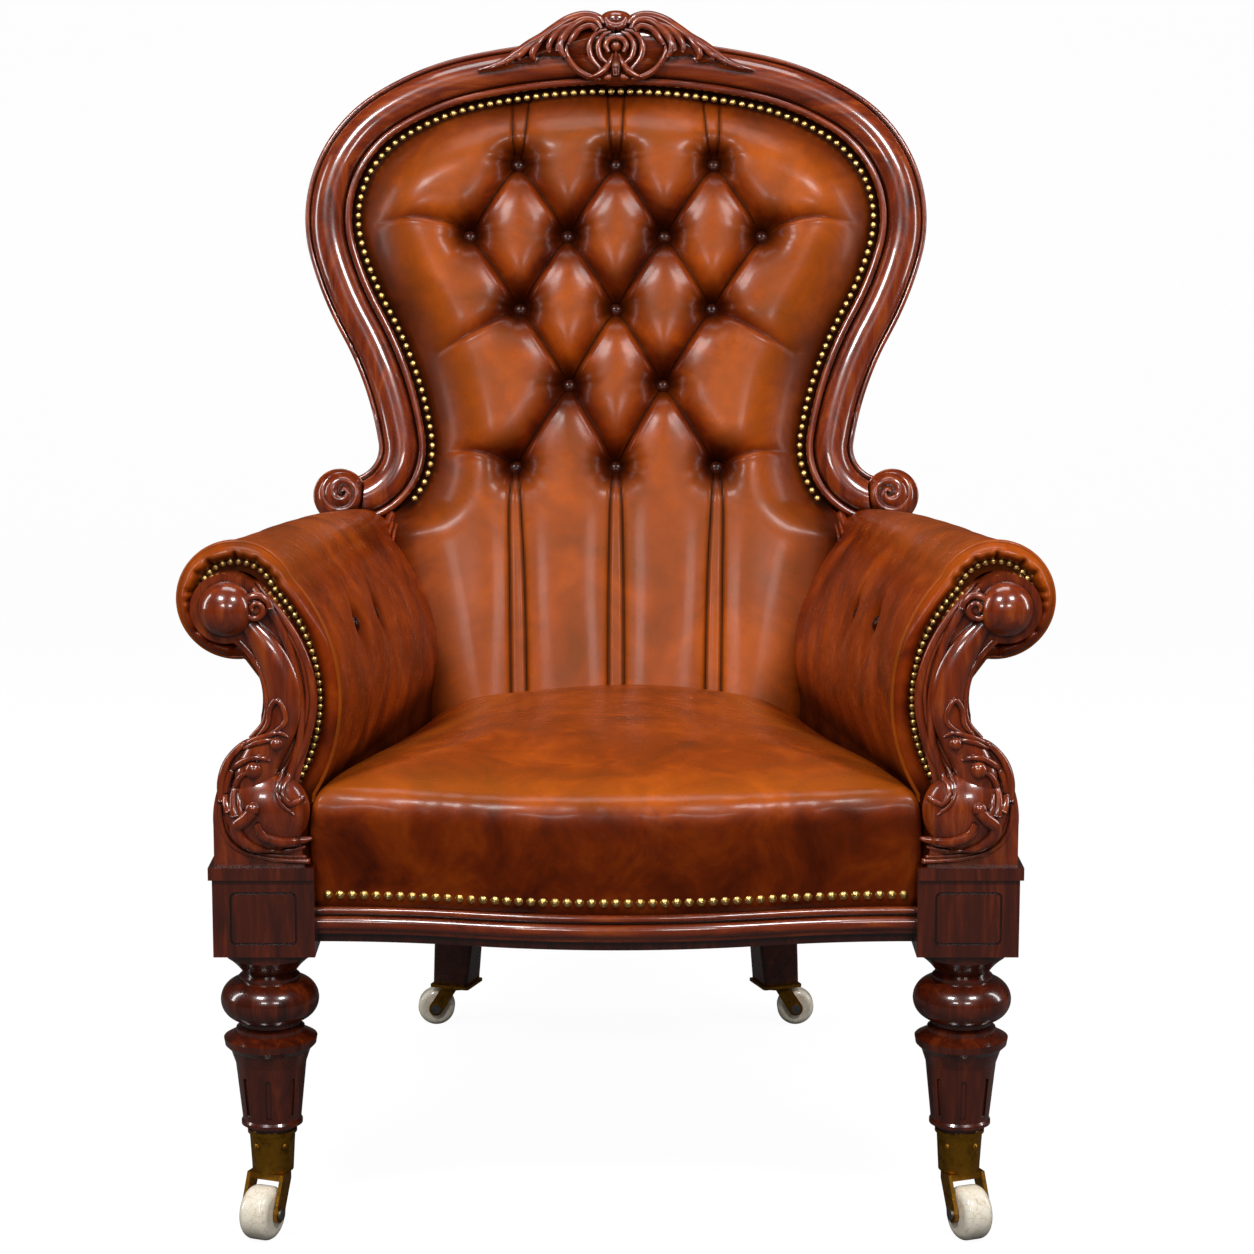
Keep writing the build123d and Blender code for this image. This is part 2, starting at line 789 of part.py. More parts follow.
# Webbing in two crossing layers under the rails
web_front = bow_front + bow + rail_front + webbing_lap
web_rear = rear_top_y + rear_rail_thickness / 2 - webbing_lap / 2
strap_y = [block_rear + webbing_width + webbing_pitch * i for i in range(strap_count)]
with BuildPart() as seat_webbing:
    with BuildSketch(Plane.XY.offset(rail_bottom)):
        for y in strap_y:
            reach = inner_half(y) + webbing_lap
            with Locations((0, y)):
                Rectangle(2 * reach, webbing_width)
    extrude(amount=webbing_thickness)
    straps = seat_webbing.part
with BuildPart() as long_straps:
    with BuildSketch(Plane.XY.offset(rail_bottom - webbing_thickness)):
        with Locations(*[(webbing_pitch * i, (web_front + web_rear) / 2) for i in (-1, 0, 1)]):
            Rectangle(webbing_width, web_rear - web_front)
    extrude(amount=webbing_thickness)
webbing_group = Compound(children=straps.solids() + long_straps.part.solids())
webbing_group.label = "seat_webbing"
export_step(webbing_group, "parts/seat_webbing.step")


# Side rails, notched below for the cross straps, and the corner blocks

with BuildPart() as side_seat_rail_right:
    with BuildSketch(Plane.XY.offset(rail_bottom)):
        with BuildLine():
            half = side_rail_thickness / 2
            rear_edge = rear_top_y - rear_block_side / 2
            Polyline((side_rail_front_x - half, block_rear), (side_rail_front_x + half, block_rear),
                     (side_rail_rear_x + half, rear_edge), (side_rail_rear_x - half, rear_edge), close=True)
        make_face()
    extrude(amount=rail_top - rail_bottom)
    add(straps, mode=Mode.SUBTRACT)
save(side_seat_rail_right, "side_seat_rail_right")
side_seat_rail_left = mirrored(side_seat_rail_right)
save(side_seat_rail_left, "side_seat_rail_left")

with BuildPart() as corner_blocks:
    with BuildSketch(Plane.XY.offset(rail_bottom)):
        with BuildLine():
            inner_x = block_inner
            Polyline((inner_x, front_rail_rear), (inner_x - corner_block_leg, front_rail_rear),
                     (side_rail_front_x - side_rail_thickness, front_rail_rear + corner_block_leg),
                     (inner_x, front_rail_rear + corner_block_leg / 2), close=True)
        make_face()
        with BuildLine():
            inner_x = rear_top_x - rear_block_side / 2
            Polyline((inner_x, rear_rail_front), (inner_x - corner_block_leg, rear_rail_front),
                     (inner_x, rear_rail_front - corner_block_leg),
                     (inner_x + rear_block_side / 3, rear_block_front - seat_gap),
                     (inner_x, rear_block_front - seat_gap), close=True)
        make_face()
        mirror(about=Plane.YZ)
    extrude(amount=(rail_top - rail_bottom) * 3 / 4)
    add(side_seat_rail_right.part, mode=Mode.SUBTRACT)
    add(side_seat_rail_left.part, mode=Mode.SUBTRACT)
    add(straps, mode=Mode.SUBTRACT)
save(corner_blocks, "corner_blocks")

# Springs: double cones of half turns, standing on the webbing under the canvas


def spring_wire_line(height):
    """The wire's path, half turn after half turn, narrowest at the waist."""
    count = 2 * spring_turns
    step = height / count
    with BuildLine() as wire:
        for index in range(count):
            low_radius = spring_radius_at(index / count)
            high_radius = spring_radius_at((index + 1) / count)
            side = 1 if index % 2 == 0 else -1
            start = Vector(side * low_radius, 0, index * step)
            end = Vector(-side * high_radius, 0, (index + 1) * step)
            middle = Vector((start.X + end.X) / 2, side * (end - start).length / 2, (index + 0.5) * step)
            ThreePointArc(start, middle, end)
    return wire.line


def spring_radius_at(share):
    """The coil's radius at a share of its height."""
    return spring_waist_radius + (spring_end_radius - spring_waist_radius) * abs(2 * share - 1)


spring_bottom = rail_bottom + webbing_thickness + spring_wire + seat_gap / 3
spring_height = rail_top - spring_wire - seat_gap / 3 - spring_bottom
with BuildPart() as seat_spring:
    spring_path = spring_wire_line(spring_height)
    with BuildSketch(Plane(origin=(spring_end_radius, 0, 0), x_dir=(1, 0, 0), z_dir=(0, 1, 0))):
        Circle(spring_wire)
    sweep(path=spring_path)
spring_places = [(webbing_pitch * i, strap_y[1 + j], spring_bottom)
                 for i in (-1, 0, 1) for j in range(spring_rows)]
with BuildPart() as seat_springs:
    with Locations(*spring_places):
        add(seat_spring.part)
save(seat_springs, "seat_springs")


# Canvas over the springs and black cloth under the seat

seat_slope = (seat_half_front - seat_half_rear) / (seat_rear_y - arm_front_y)


def seat_half_at(y):
    """Half of the seat's width at y."""
    return seat_half_front - seat_slope * (y - arm_front_y)


with BuildPart() as spring_canvas:
    with BuildSketch(Plane.XY.offset(rail_top)):
        with BuildLine():
            front_edge = block_rear - block_depth / 2
            rear_end = rear_block_front - seat_gap
            front_half = seat_half_at(front_edge) - seat_gap
            rear_half = seat_half_at(seat_rear_y) - seat_gap
            Polyline((-front_half, front_edge), (front_half, front_edge), (rear_half, seat_rear_y),
                     (upright_foot_x - upright_width, rear_end), (-upright_foot_x + upright_width, rear_end),
                     (-rear_half, seat_rear_y), close=True)
        make_face()
    extrude(amount=canvas_thickness)
save(spring_canvas, "spring_canvas")

with BuildPart() as dust_cover:
    with BuildSketch(Plane.XY.offset(rail_bottom - webbing_thickness - dust_cover_thickness)):
        with BuildLine():
            cover_front = inner_half(block_rear)
            cover_rear = inner_half(rear_block_front)
            Polyline((-cover_front, block_rear), (cover_front, block_rear), (cover_rear, rear_block_front),
                     (-cover_rear, rear_block_front), close=True)
        make_face()
        with Locations((0, (block_rear + web_front) / 2)):
            Rectangle(2 * (block_inner - webbing_lap), block_rear - web_front)
        with Locations((0, (web_rear + rear_block_front) / 2)):
            Rectangle(2 * (rear_top_x - rear_block_side / 2 - seat_gap), web_rear - rear_block_front)
    extrude(amount=dust_cover_thickness)
save(dust_cover, "dust_cover")


# Seat pad: a skirt down to the moulding and a crowned cushion above the rails

pad_floor = rail_top + canvas_thickness


def seat_outline(inset):
    """The cushion's plan at an inset from its full outline."""
    with BuildSketch() as outline:
        with BuildLine():
            front = border_front + inset
            side_x = seat_half_front - seat_gap - inset
            nose = JernArc((0, bow_front + front), (1, 0), bow_radius - front, bow_turn)
            end_sine = sin(radians(bow_turn)) - (side_x - (nose @ 1).X) / (bow_radius + front)
            wing = JernArc(nose @ 1, nose % 1, bow_radius + front, degrees(asin(end_sine)) - bow_turn)
            rear = seat_rear_y - inset
            hip = Vector(side_x, arm_front_y + inset)
            Line(wing @ 1, hip)
            Line(hip, (seat_half_at(seat_rear_y) - seat_gap - inset, rear))
            Line((seat_half_at(seat_rear_y) - seat_gap - inset, rear), (0, rear))
            mirror(about=Plane.YZ)
        make_face()
    return outline.sketch


with BuildPart() as seat_pad:
    with BuildSketch(Plane.XY.offset(rail_moulding_top)):
        add(bow_region(border_front, block_rear - overrun))
        add(bow_region(rail_front, block_rear), mode=Mode.SUBTRACT)
    extrude(amount=pad_floor - rail_moulding_top)
    for inset, rise_share in zip(seat_crown_insets, seat_crown_shares):
        with BuildSketch(Plane.XY.offset(pad_floor + (seat_crown_height - pad_floor) * rise_share)):
            add(seat_outline(inset))
    loft()
    split(bisect_by=back_plane.offset(pad_crown + seat_gap), keep=Keep.TOP)
save(seat_pad, "seat_pad")


# Arms

def arm_section(roll, inner, belly, neck, foot):
    """An arm pad's section: cushion side, rolled top and hollow under the roll."""
    centre_x, centre_z, radius = roll
    on_roll = [(centre_x + radius * cos(radians(angle)), centre_z + radius * sin(radians(angle)))
               for angle in (roll_start_angle, roll_start_angle / 2, 0,
                             roll_bottom_angle / 2, roll_bottom_angle)]
    with BuildSketch() as section:
        with BuildLine():
            Line((foot, rail_top), (inner, rail_top))
            Line((inner, rail_top), (inner, arm_seat_height))
            ThreePointArc((inner, arm_seat_height), (belly, arm_belly_height), on_roll[0])
            ThreePointArc(on_roll[0], on_roll[1], on_roll[2])
            ThreePointArc(on_roll[2], on_roll[3], on_roll[4])
            Line(on_roll[4], neck)
            Line(neck, (foot, rail_top))
        make_face()
    return section.sketch


with BuildPart() as back_clear:
    with BuildSketch(back_plane.offset(frame_back - panel_depth)):
        add(pad_outline(-pad_clearance))
    extrude(amount=2 * pad_crown - frame_back + panel_depth)

with BuildPart() as arm_rail_right:
    for plane_y, (rail_x, rail_z) in ((arm_front_y, arm_rail_front),
                                      (arm_rear_y - overrun, arm_rail_rear)):
        with BuildSketch(upright_plane(plane_y)):
            with Locations((rail_x, rail_z)):
                Rectangle(arm_rail_width, arm_rail_height)
    loft()
save(arm_rail_right, "arm_rail_right")
save(mirrored(arm_rail_right), "arm_rail_left")

with BuildPart() as arm_stump_right:
    with BuildSketch(Plane.XY.offset(block_top + ledge_height)):
        with Locations((seat_half_front + seat_gap + stump_width / 2, arm_front_y + stump_depth / 2)):
            Rectangle(stump_width, stump_depth)
    extrude(amount=stump_top - block_top - ledge_height)
save(arm_stump_right, "arm_stump_right")
save(mirrored(arm_stump_right), "arm_stump_left")

# Carved arm fronts

facing_base = block_top + ledge_height
facing_rise = boss_z - facing_base
facing_front = arm_front_y - facing_depth


def on_facing(shares, shift=0):
    """A place on the arm front from its shares, moved sideways by a shift."""
    return (front_leg_x + shares[0] * block_width + shift, facing_base + shares[1] * facing_rise)


facing_outer = [on_facing(place) for place in facing_outer_shares]
facing_inner = [on_facing(place) for place in facing_inner_shares]
with BuildPart() as arm_facing_right:
    with BuildSketch(upright_plane(arm_front_y)):
        with BuildLine():
            ThreePointArc(*facing_outer[0:3])
            ThreePointArc(*facing_outer[2:5])
            ThreePointArc(*facing_outer[4:7])
            Line(*facing_outer[6:8])
            Line(facing_outer[7], facing_inner[0])
            Line(*facing_inner[0:2])
            ThreePointArc(*facing_inner[1:4])
            ThreePointArc(*facing_inner[3:6])
            ThreePointArc(*facing_inner[5:8])
            Line(*facing_inner[7:9])
            Line(facing_inner[8], facing_outer[0])
        make_face()
        with Locations((boss_x, boss_z)):
            Circle(boss_radius + boss_collar)
    extrude(amount=facing_depth)
    with BuildSketch(upright_plane(arm_front_y)):
        with BuildLine():
            knee_x = front_leg_x + knee_inner_share * block_width
            Line((knee_x, facing_base), facing_outer[7])
            Line(facing_outer[7], facing_outer[6])
            ThreePointArc(facing_outer[6], facing_outer[5], facing_outer[4])
            Line(facing_outer[4], (knee_x, facing_outer[4][1]))
            Line((knee_x, facing_outer[4][1]), (knee_x, facing_base))
        make_face()
    extrude(amount=-knee_block_depth)
    rib_places = [on_facing(place, rib_inset) for place in facing_inner_shares[1:8]]
    with BuildLine() as rib_line:
        ThreePointArc(*rib_places[0:3])
        ThreePointArc(*rib_places[2:5])
        ThreePointArc(*rib_places[4:7])
    rib_path = upright_plane(facing_front).from_local_coords(rib_line.line)
    rib_start = upright_plane(facing_front).from_local_coords(Vector(*rib_places[0]))
    with BuildSketch(Plane(origin=rib_start, z_dir=rib_path % 0)):
        Circle(rib_radius)
    sweep(path=rib_path, transition=Transition.ROUND)
save(arm_facing_right, "arm_facing_right")
save(mirrored(arm_facing_right), "arm_facing_left")

boss_dome = dome(boss_radius, boss_rise)
with BuildPart() as arm_boss_right:
    with BuildSketch(upright_plane(facing_front)):
        with Locations((boss_x, boss_z)):
            Circle(boss_radius + boss_ring)
    extrude(amount=boss_ring)
    boss_place = Plane(origin=(boss_x, facing_front - boss_ring, boss_z), z_dir=(0, -1, 0)).location
    add(boss_place * boss_dome)
    add(arm_facing_right.part, mode=Mode.SUBTRACT)
save(arm_boss_right, "arm_boss_right")
save(mirrored(arm_boss_right), "arm_boss_left")

with BuildPart() as arm_knee_carving_right:
    with BuildSketch(upright_plane(facing_front)):
        for base_share, tip_share in leaf_shares:
            base = Vector(*on_facing(base_share))
            leaf_tip = Vector(*on_facing(tip_share))
            across = (leaf_tip - base).normalized().rotate(Axis.Z, 90) * leaf_width / 2
            with BuildLine():
                ThreePointArc(base, (base + leaf_tip) / 2 + across, leaf_tip)
                ThreePointArc(leaf_tip, (base + leaf_tip) / 2 - across, base)
            make_face()
    extrude(amount=leaf_depth)
    add(arm_facing_right.part, mode=Mode.SUBTRACT)
save(arm_knee_carving_right, "arm_knee_carving_right")
save(mirrored(arm_knee_carving_right), "arm_knee_carving_left")


# Outside arms: leather over a thin board, from under the roll down over the rail

def outside_section(neck, foot):
    """The outside arm's section, thickness outwards."""
    with BuildSketch() as section:
        with BuildLine():
            Polyline(neck, (foot, rail_top), (foot, rail_bottom), (foot + outside_arm_thickness, rail_bottom),
                     (foot + outside_arm_thickness, rail_top), (neck[0] + outside_arm_thickness, neck[1]),
                     close=True)
        make_face()
    return section.sketch


with BuildPart() as outside_arm_right:
    with BuildSketch(upright_plane(arm_front_y)):
        add(outside_section(arm_neck_front, arm_foot_front))
    with BuildSketch(upright_plane(arm_rear_y)):
        add(outside_section(arm_neck_rear, arm_foot_rear))
    loft(ruled=True)
    for cutter in (arm_facing_right, front_leg_right, rear_leg_right, back_upright_right, outside_back_panel):
        add(cutter.part, mode=Mode.SUBTRACT)
save(outside_arm_right, "outside_arm_right")
save(mirrored(outside_arm_right), "outside_arm_left")


# Arm pads, with a pocket for each button on the inner face

arm_turn = atan2(arm_belly_front - arm_belly_rear, arm_rear_y - arm_front_y)


def arm_face(y, height):
    """The place and the outward direction of an arm's inner face at a height."""
    inner = between(arm_inner_front, arm_inner_rear, y)
    belly = between(arm_belly_front, arm_belly_rear, y)
    x, z, radius = [between(front, rear, y) for front, rear in zip(roll_front, roll_rear)]
    roll_start = (x + radius * cos(radians(roll_start_angle)), z + radius * sin(radians(roll_start_angle)))
    with BuildLine():
        face = ThreePointArc((inner, arm_seat_height), (belly, arm_belly_height), roll_start)
    climb = asin((height - face.arc_center.Y) / face.radius)
    outward = Vector(-cos(arm_turn) * cos(climb), -sin(arm_turn) * cos(climb), sin(climb))
    return Vector(face.arc_center.X - face.radius * cos(climb), y, height), outward


arm_pocket_planes = []
for share, height in arm_button_places:
    place, outward = arm_face(arm_front_y + share * (arm_rear_y - arm_front_y), height)
    arm_pocket_planes.append(Plane(origin=place - outward * arm_pocket_depth, z_dir=outward))

roll_x, roll_z, roll_radius = roll_front
with BuildPart() as arm_pad_right:
    with BuildSketch(upright_plane(arm_front_y)):
        add(arm_section(roll_front, arm_inner_front, arm_belly_front, arm_neck_front, arm_foot_front))
    with BuildSketch(upright_plane(arm_rear_y)):
        add(arm_section(roll_rear, arm_inner_rear, arm_belly_rear, arm_neck_rear, arm_foot_rear))
    loft(ruled=True)
    with BuildSketch(Plane.XY.offset(roll_z)):
        with BuildLine():
            puff_start = (roll_x + roll_radius - seat_gap, arm_front_y)
            puff_end = (roll_x + boss_radius, arm_front_y)
            puff_middle = ((puff_start[0] + puff_end[0]) / 2, arm_front_y - roll_puff)
            ThreePointArc(puff_start, puff_middle, puff_end)
            Line(puff_end, puff_start)
        make_face()
    revolve(axis=Axis((roll_x, arm_front_y, roll_z), (0, 1, 0)))
    for cutter in (back_clear, arm_rail_right, arm_stump_right, back_upright_right, outside_back_panel,
                   rear_leg_right, front_leg_right, back_stile_right, stile_volute_right, arm_facing_right,
                   outside_arm_right):
        add(cutter.part, mode=Mode.SUBTRACT)
    for pocket_plane in arm_pocket_planes:
        with BuildSketch(pocket_plane):
            Circle(arm_button_radius + arm_pocket_rim)
        extrude(amount=arm_pocket_depth + overrun, mode=Mode.SUBTRACT)
    whole_arm = arm_pad_right.part.solids().sort_by(SortBy.VOLUME)[-1]
with BuildPart() as arm_pad_kept:
    add(whole_arm)
save(arm_pad_kept, "arm_pad_right")
save(mirrored(arm_pad_kept), "arm_pad_left")


# Leather buttons in the back's tufts and in the arms

button_floor = pad_crown - tuft_depth
back_button = dome(button_radius, button_height)
arm_button = dome(arm_button_radius, button_height)
with BuildPart() as leather_buttons:
    with Locations(*[back_plane * Location((x, height, button_floor)) for x, height in buttons]):
        add(back_button)
    for pocket_plane in arm_pocket_planes:
        placed = pocket_plane.location * arm_button
        add(placed)
        add(mirrored_part(placed))
save(leather_buttons, "leather_buttons")


# Brass nails

nail_arcs = crest_arcs + stile_arcs[:-1] + [(stile_arcs[-1][0], pad_flare_turn)]
nail_outward = -(half_frame + pad_clearance + nail_inset)
with BuildLine() as nail_line:
    draw_arcs((0, frame_top + nail_outward), (1, 0), nail_arcs, nail_outward)
nail_wire = nail_line.wires()[0]
nail_count = int(nail_wire.length / nail_pitch)
nail_places = [nail_wire.position_at((i + 0.5) / nail_count) for i in range(nail_count)]
back_nail = dome(nail_radius, nail_height)
with BuildPart() as back_nails:
    for side in (1, -1):
        with Locations(*[back_plane * Location((side * place.X, place.Y, pad_flange))
                         for place in nail_places]):
            add(back_nail)
save(back_nails, "back_nails")

nail_curve = bow_curve(border_front - nail_lift).wires()[0]
nail_margin = (nail_curve.length - 2 * rail_nail_half) / 2
rail_nail = dome(rail_nail_radius, rail_nail_height)
with BuildPart() as rail_nails:
    for index in range(rail_nail_count):
        distance = nail_margin + 2 * rail_nail_half * index / (rail_nail_count - 1)
        place = nail_curve.position_at(distance / nail_curve.length)
        along = nail_curve.tangent_at(distance / nail_curve.length)
        outwards = (along.Y, -along.X, 0) if along.X > 0 else (-along.Y, along.X, 0)
        nail_plane = Plane(origin=(place.X, place.Y, rail_nail_z), z_dir=outwards)
        add(nail_plane.location * rail_nail)
save(rail_nails, "rail_nails")

arm_nail_places = [on_facing(place, -nail_inset) for place in facing_inner_shares[1:8]]
with BuildLine() as arm_nail_line:
    ThreePointArc(*arm_nail_places[0:3])
    ThreePointArc(*arm_nail_places[2:5])
arm_nail_wire = arm_nail_line.wires()[0]
arm_nail_count = int(arm_nail_wire.length / arm_nail_pitch)
arm_nail = dome(arm_nail_radius, arm_nail_height)
with BuildPart() as arm_nails:
    for index in range(arm_nail_count):
        place = arm_nail_wire.position_at((index + 0.5) / arm_nail_count)
        for side in (1, -1):
            nail_plane = Plane(origin=(side * place.X, arm_front_y, place.Y), z_dir=(0, -1, 0))
            add(nail_plane.location * arm_nail)
save(arm_nails, "arm_nails")


# Castors: cups on the front legs, plates on the rear legs

cup_shoulder = cup_top - cup_bead * 2
with BuildPart() as castor_cup:
    with BuildSketch(Plane.XZ):
        with BuildLine():
            Polyline((pivot_radius + pivot_clearance, cup_bottom), (cup_foot_radius, cup_bottom),
                     (cup_rim_radius - cup_bead / 2, cup_shoulder),
                     (cup_rim_radius + cup_bead / 2, cup_shoulder))
            Line((cup_rim_radius + cup_bead / 2, cup_shoulder), (cup_rim_radius + cup_bead / 2, cup_top))
            Polyline((cup_rim_radius + cup_bead / 2, cup_top), (tenon_radius + pivot_clearance, cup_top),
                     (tenon_radius + pivot_clearance, cup_bottom + cup_floor),
                     (pivot_radius + pivot_clearance, cup_bottom + cup_floor),
                     (pivot_radius + pivot_clearance, cup_bottom))
        make_face()
    revolve(axis=Axis.Z)
castor_cup.part = leg_place * castor_cup.part
with BuildPart() as castor_cups_front:
    add(castor_cup.part)
    mirror(about=Plane.YZ)
save(castor_cups_front, "castor_cups_front")

screw_share = (screw_height - cup_bottom) / (cup_shoulder - cup_bottom)
screw_out = cup_foot_radius + (cup_rim_radius - cup_bead / 2 - cup_foot_radius) * screw_share + seat_gap
screw_head_dome = dome(screw_radius, screw_head)
with BuildPart() as castor_screws:
    for turn in screw_turns:
        facing_out = (cos(radians(turn)), sin(radians(turn)), 0)
        for side in (1, -1):
            place = (side * (front_leg_x + screw_out * facing_out[0]),
                     front_leg_y + screw_out * facing_out[1],
                     screw_height)
            screw_plane = Plane(origin=place, z_dir=(side * facing_out[0], facing_out[1], 0))
            add(screw_plane.location * screw_head_dome)
save(castor_screws, "castor_screws")

rear_plate_bottom = rear_plate_top - rear_plate_thickness
with BuildPart() as castor_plates_rear:
    with BuildSketch(Plane(origin=(rear_foot_x, rear_foot_y, rear_plate_bottom))):
        with Locations(Location((0, 0, 0), (0, 0, rear_foot_turn))):
            RectangleRounded(rear_plate_side, rear_plate_side, rear_plate_thickness)
        Circle(pivot_radius + pivot_clearance, mode=Mode.SUBTRACT)
    extrude(amount=rear_plate_thickness)
    mirror(about=Plane.YZ)
save(castor_plates_rear, "castor_plates_rear")


def make_fork(radius, width, crown_bottom, crown_top, head_bottom):
    """The swivelling horn with its pivot pin, its axis on Z and its wheel towards -Y."""
    inner = width / 2 + wheel_side_gap
    outer = inner + cheek_thickness
    with BuildPart() as fork:
        with BuildSketch(Plane.XY.offset(crown_bottom)):
            Circle(crown_radius)
            with Locations((0, -crown_radius / 2)):
                RectangleRounded(2 * outer, crown_radius, cheek_thickness)
        extrude(amount=crown_top - crown_bottom)
        for start in (inner, -outer):
            with BuildSketch(Plane.YZ.offset(start)):
                with Locations((-trail, radius)):
                    Circle(cheek_width / 2)
                with Locations((-crown_radius / 2, crown_bottom + (crown_top - crown_bottom) / 2)):
                    Rectangle(crown_radius, (crown_top - crown_bottom))
                make_hull()
            extrude(amount=cheek_thickness)
        with BuildSketch(Plane.YZ.offset(-outer)):
            with Locations((-trail, radius)):
                Circle(axle_radius + axle_clearance)
        extrude(amount=2 * outer, mode=Mode.SUBTRACT)
        with BuildSketch(Plane.XY.offset(crown_top)):
            Circle(pivot_radius)
        extrude(amount=head_bottom - crown_top)
        with BuildSketch(Plane.XY.offset(head_bottom)):
            Circle(pivot_head_radius)
        extrude(amount=pivot_head)
    return fork


def make_wheel(radius, width, rounding):
    """The ceramic wheel on its bore, placed under the fork."""
    half = width / 2
    bore = axle_radius + axle_clearance
    corner = rounding * cos(radians(45))
    with BuildPart() as wheel:
        with BuildSketch(Plane.XY):
            with BuildLine():
                Line((-half, bore), (-half, radius - rounding))
                ThreePointArc((-half, radius - rounding),
                              (-half + rounding - corner, radius - rounding + corner),
                              (-half + rounding, radius))
                Line((-half + rounding, radius), (half - rounding, radius))
                ThreePointArc((half - rounding, radius),
                              (half - rounding + corner, radius - rounding + corner),
                              (half, radius - rounding))
                Line((half, radius - rounding), (half, bore))
                Line((half, bore), (-half, bore))
            make_face()
        revolve(axis=Axis.X)
    wheel.part = Pos(0, -trail, radius) * wheel.part
    return wheel


def make_axle(radius, width):
    """The riveted pin across the cheeks."""
    outer = width / 2 + wheel_side_gap + cheek_thickness
    with BuildPart() as axle:
        with BuildSketch(Plane.YZ.offset(-outer)):
            with Locations((-trail, radius)):
                Circle(axle_radius)
        extrude(amount=2 * outer)
        for start, side in ((outer, 1), (-outer, -1)):
            with BuildSketch(Plane.YZ.offset(start)):
                with Locations((-trail, radius)):
                    Circle(axle_head_radius)
            extrude(amount=side * axle_head)
    return axle


front_head_bottom = cup_bottom + cup_floor + seat_gap
front_crown_top = cup_bottom - crown_gap
rear_crown_top = rear_plate_bottom - crown_gap
castor_kinds = {
    "front": (front_leg_x, front_leg_y, front_trail_angle, wheel_radius, wheel_width, wheel_round,
              front_crown_top - crown_thickness, front_crown_top, front_head_bottom),
    "rear": (rear_foot_x, rear_foot_y, rear_trail_angle, rear_wheel_radius, rear_wheel_width,
             rear_wheel_round, rear_crown_top - rear_crown_thickness, rear_crown_top,
             rear_plate_top + seat_gap),
}
for end, (x, y, turn, radius, width, rounding, crown_low, crown_high, head_low) in castor_kinds.items():
    place = Pos(x, y, 0) * Rot(0, 0, turn)
    pieces = {"fork": make_fork(radius, width, crown_low, crown_high, head_low),
              "wheel": make_wheel(radius, width, rounding), "axle": make_axle(radius, width)}
    for kind, piece in pieces.items():
        piece.part = place * piece.part
        save(piece, f"castor_{kind}_{end}_right")
        save(mirrored(piece), f"castor_{kind}_{end}_left")
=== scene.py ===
"""The looks of a deep-buttoned leather armchair on castors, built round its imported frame.

Sizes in the classes are in millimetres, as on the drawing, and become metres when a mesh is made.
Only the studio is in metres.
"""
from __future__ import annotations

import logging
import math
from dataclasses import dataclass, field
from enum import Enum
from typing import Callable, Sequence

import bpy
import numpy as np
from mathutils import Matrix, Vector
from mathutils.kdtree import KDTree

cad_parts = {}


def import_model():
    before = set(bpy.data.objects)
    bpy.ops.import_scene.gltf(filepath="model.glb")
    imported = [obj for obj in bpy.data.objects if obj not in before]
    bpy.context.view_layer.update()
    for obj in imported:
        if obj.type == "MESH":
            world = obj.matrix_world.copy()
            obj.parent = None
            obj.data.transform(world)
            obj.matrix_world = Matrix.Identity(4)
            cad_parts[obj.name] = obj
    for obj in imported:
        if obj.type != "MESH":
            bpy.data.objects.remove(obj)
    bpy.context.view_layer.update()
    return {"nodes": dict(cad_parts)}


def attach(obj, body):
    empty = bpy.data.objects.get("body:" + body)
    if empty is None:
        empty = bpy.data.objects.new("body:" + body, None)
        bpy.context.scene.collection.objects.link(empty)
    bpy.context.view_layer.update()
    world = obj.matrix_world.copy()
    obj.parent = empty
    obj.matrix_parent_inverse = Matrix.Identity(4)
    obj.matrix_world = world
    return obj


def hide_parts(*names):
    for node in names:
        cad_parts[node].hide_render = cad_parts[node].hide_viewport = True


log = logging.getLogger("armchair")
MM = 0.001
TINY = 1e-12
FAR = 1e6
CHAIR = "chair"
FORWARD = np.array([0.0, -1.0, 0.0])
WHITE = (1.0, 1.0, 1.0, 1.0)
Array = np.ndarray
Faces = list[tuple[int, ...]]
Pairs = tuple[tuple[float, float], ...]


# Small tools

def linear(hex_colour: str) -> tuple[float, float, float, float]:
    """Turns an sRGB hex colour into the linear values that a shader takes.

    Args:
        hex_colour: six hex digits with or without a leading hash.
    Returns:
        Red, green, blue and alpha.
    """
    digits = hex_colour.lstrip("#")
    values = [int(digits[i:i + 2], 16) / 255 for i in (0, 2, 4)]
    values = [v / 12.92 if v <= 0.04045 else ((v + 0.055) / 1.055) ** 2.4 for v in values]
    return (values[0], values[1], values[2], 1.0)


def add_node(tree: bpy.types.NodeTree, kind: str, inputs: dict | None = None, stops: Sequence = (),
             **settings: object) -> bpy.types.Node:
    """Adds a node, sets its properties, and fills or links its inputs.

    Args:
        tree: the material's node tree.
        kind: the node's type name.
        inputs: socket name or index to a value, or to another node's output socket.
        stops: for a colour ramp, (place, colour) pairs.
        settings: the node's own properties.
    Returns:
        The new node.
    """
    node = tree.nodes.new(kind)
    for name, value in settings.items():
        setattr(node, name, value)
    for place, (position, colour) in enumerate(stops):
        elements = node.color_ramp.elements
        stop = elements[place] if place < len(elements) else elements.new(position)
        stop.position = position
        stop.color = colour
    for key, value in (inputs or {}).items():
        if isinstance(value, bpy.types.NodeSocket):
            tree.links.new(value, node.inputs[key])
        else:
            node.inputs[key].default_value = value
    return node


def ease(values: Array) -> Array:
    """A smooth step from 0 to 1 of values that run from 0 to 1."""
    held = np.clip(values, 0.0, 1.0)
    return held * held * (3.0 - 2.0 * held)


def fade(values: Array, start: float, end: float) -> Array:
    """A smooth step that is 0 at start and 1 at end."""
    return ease((values - start) / (end - start))


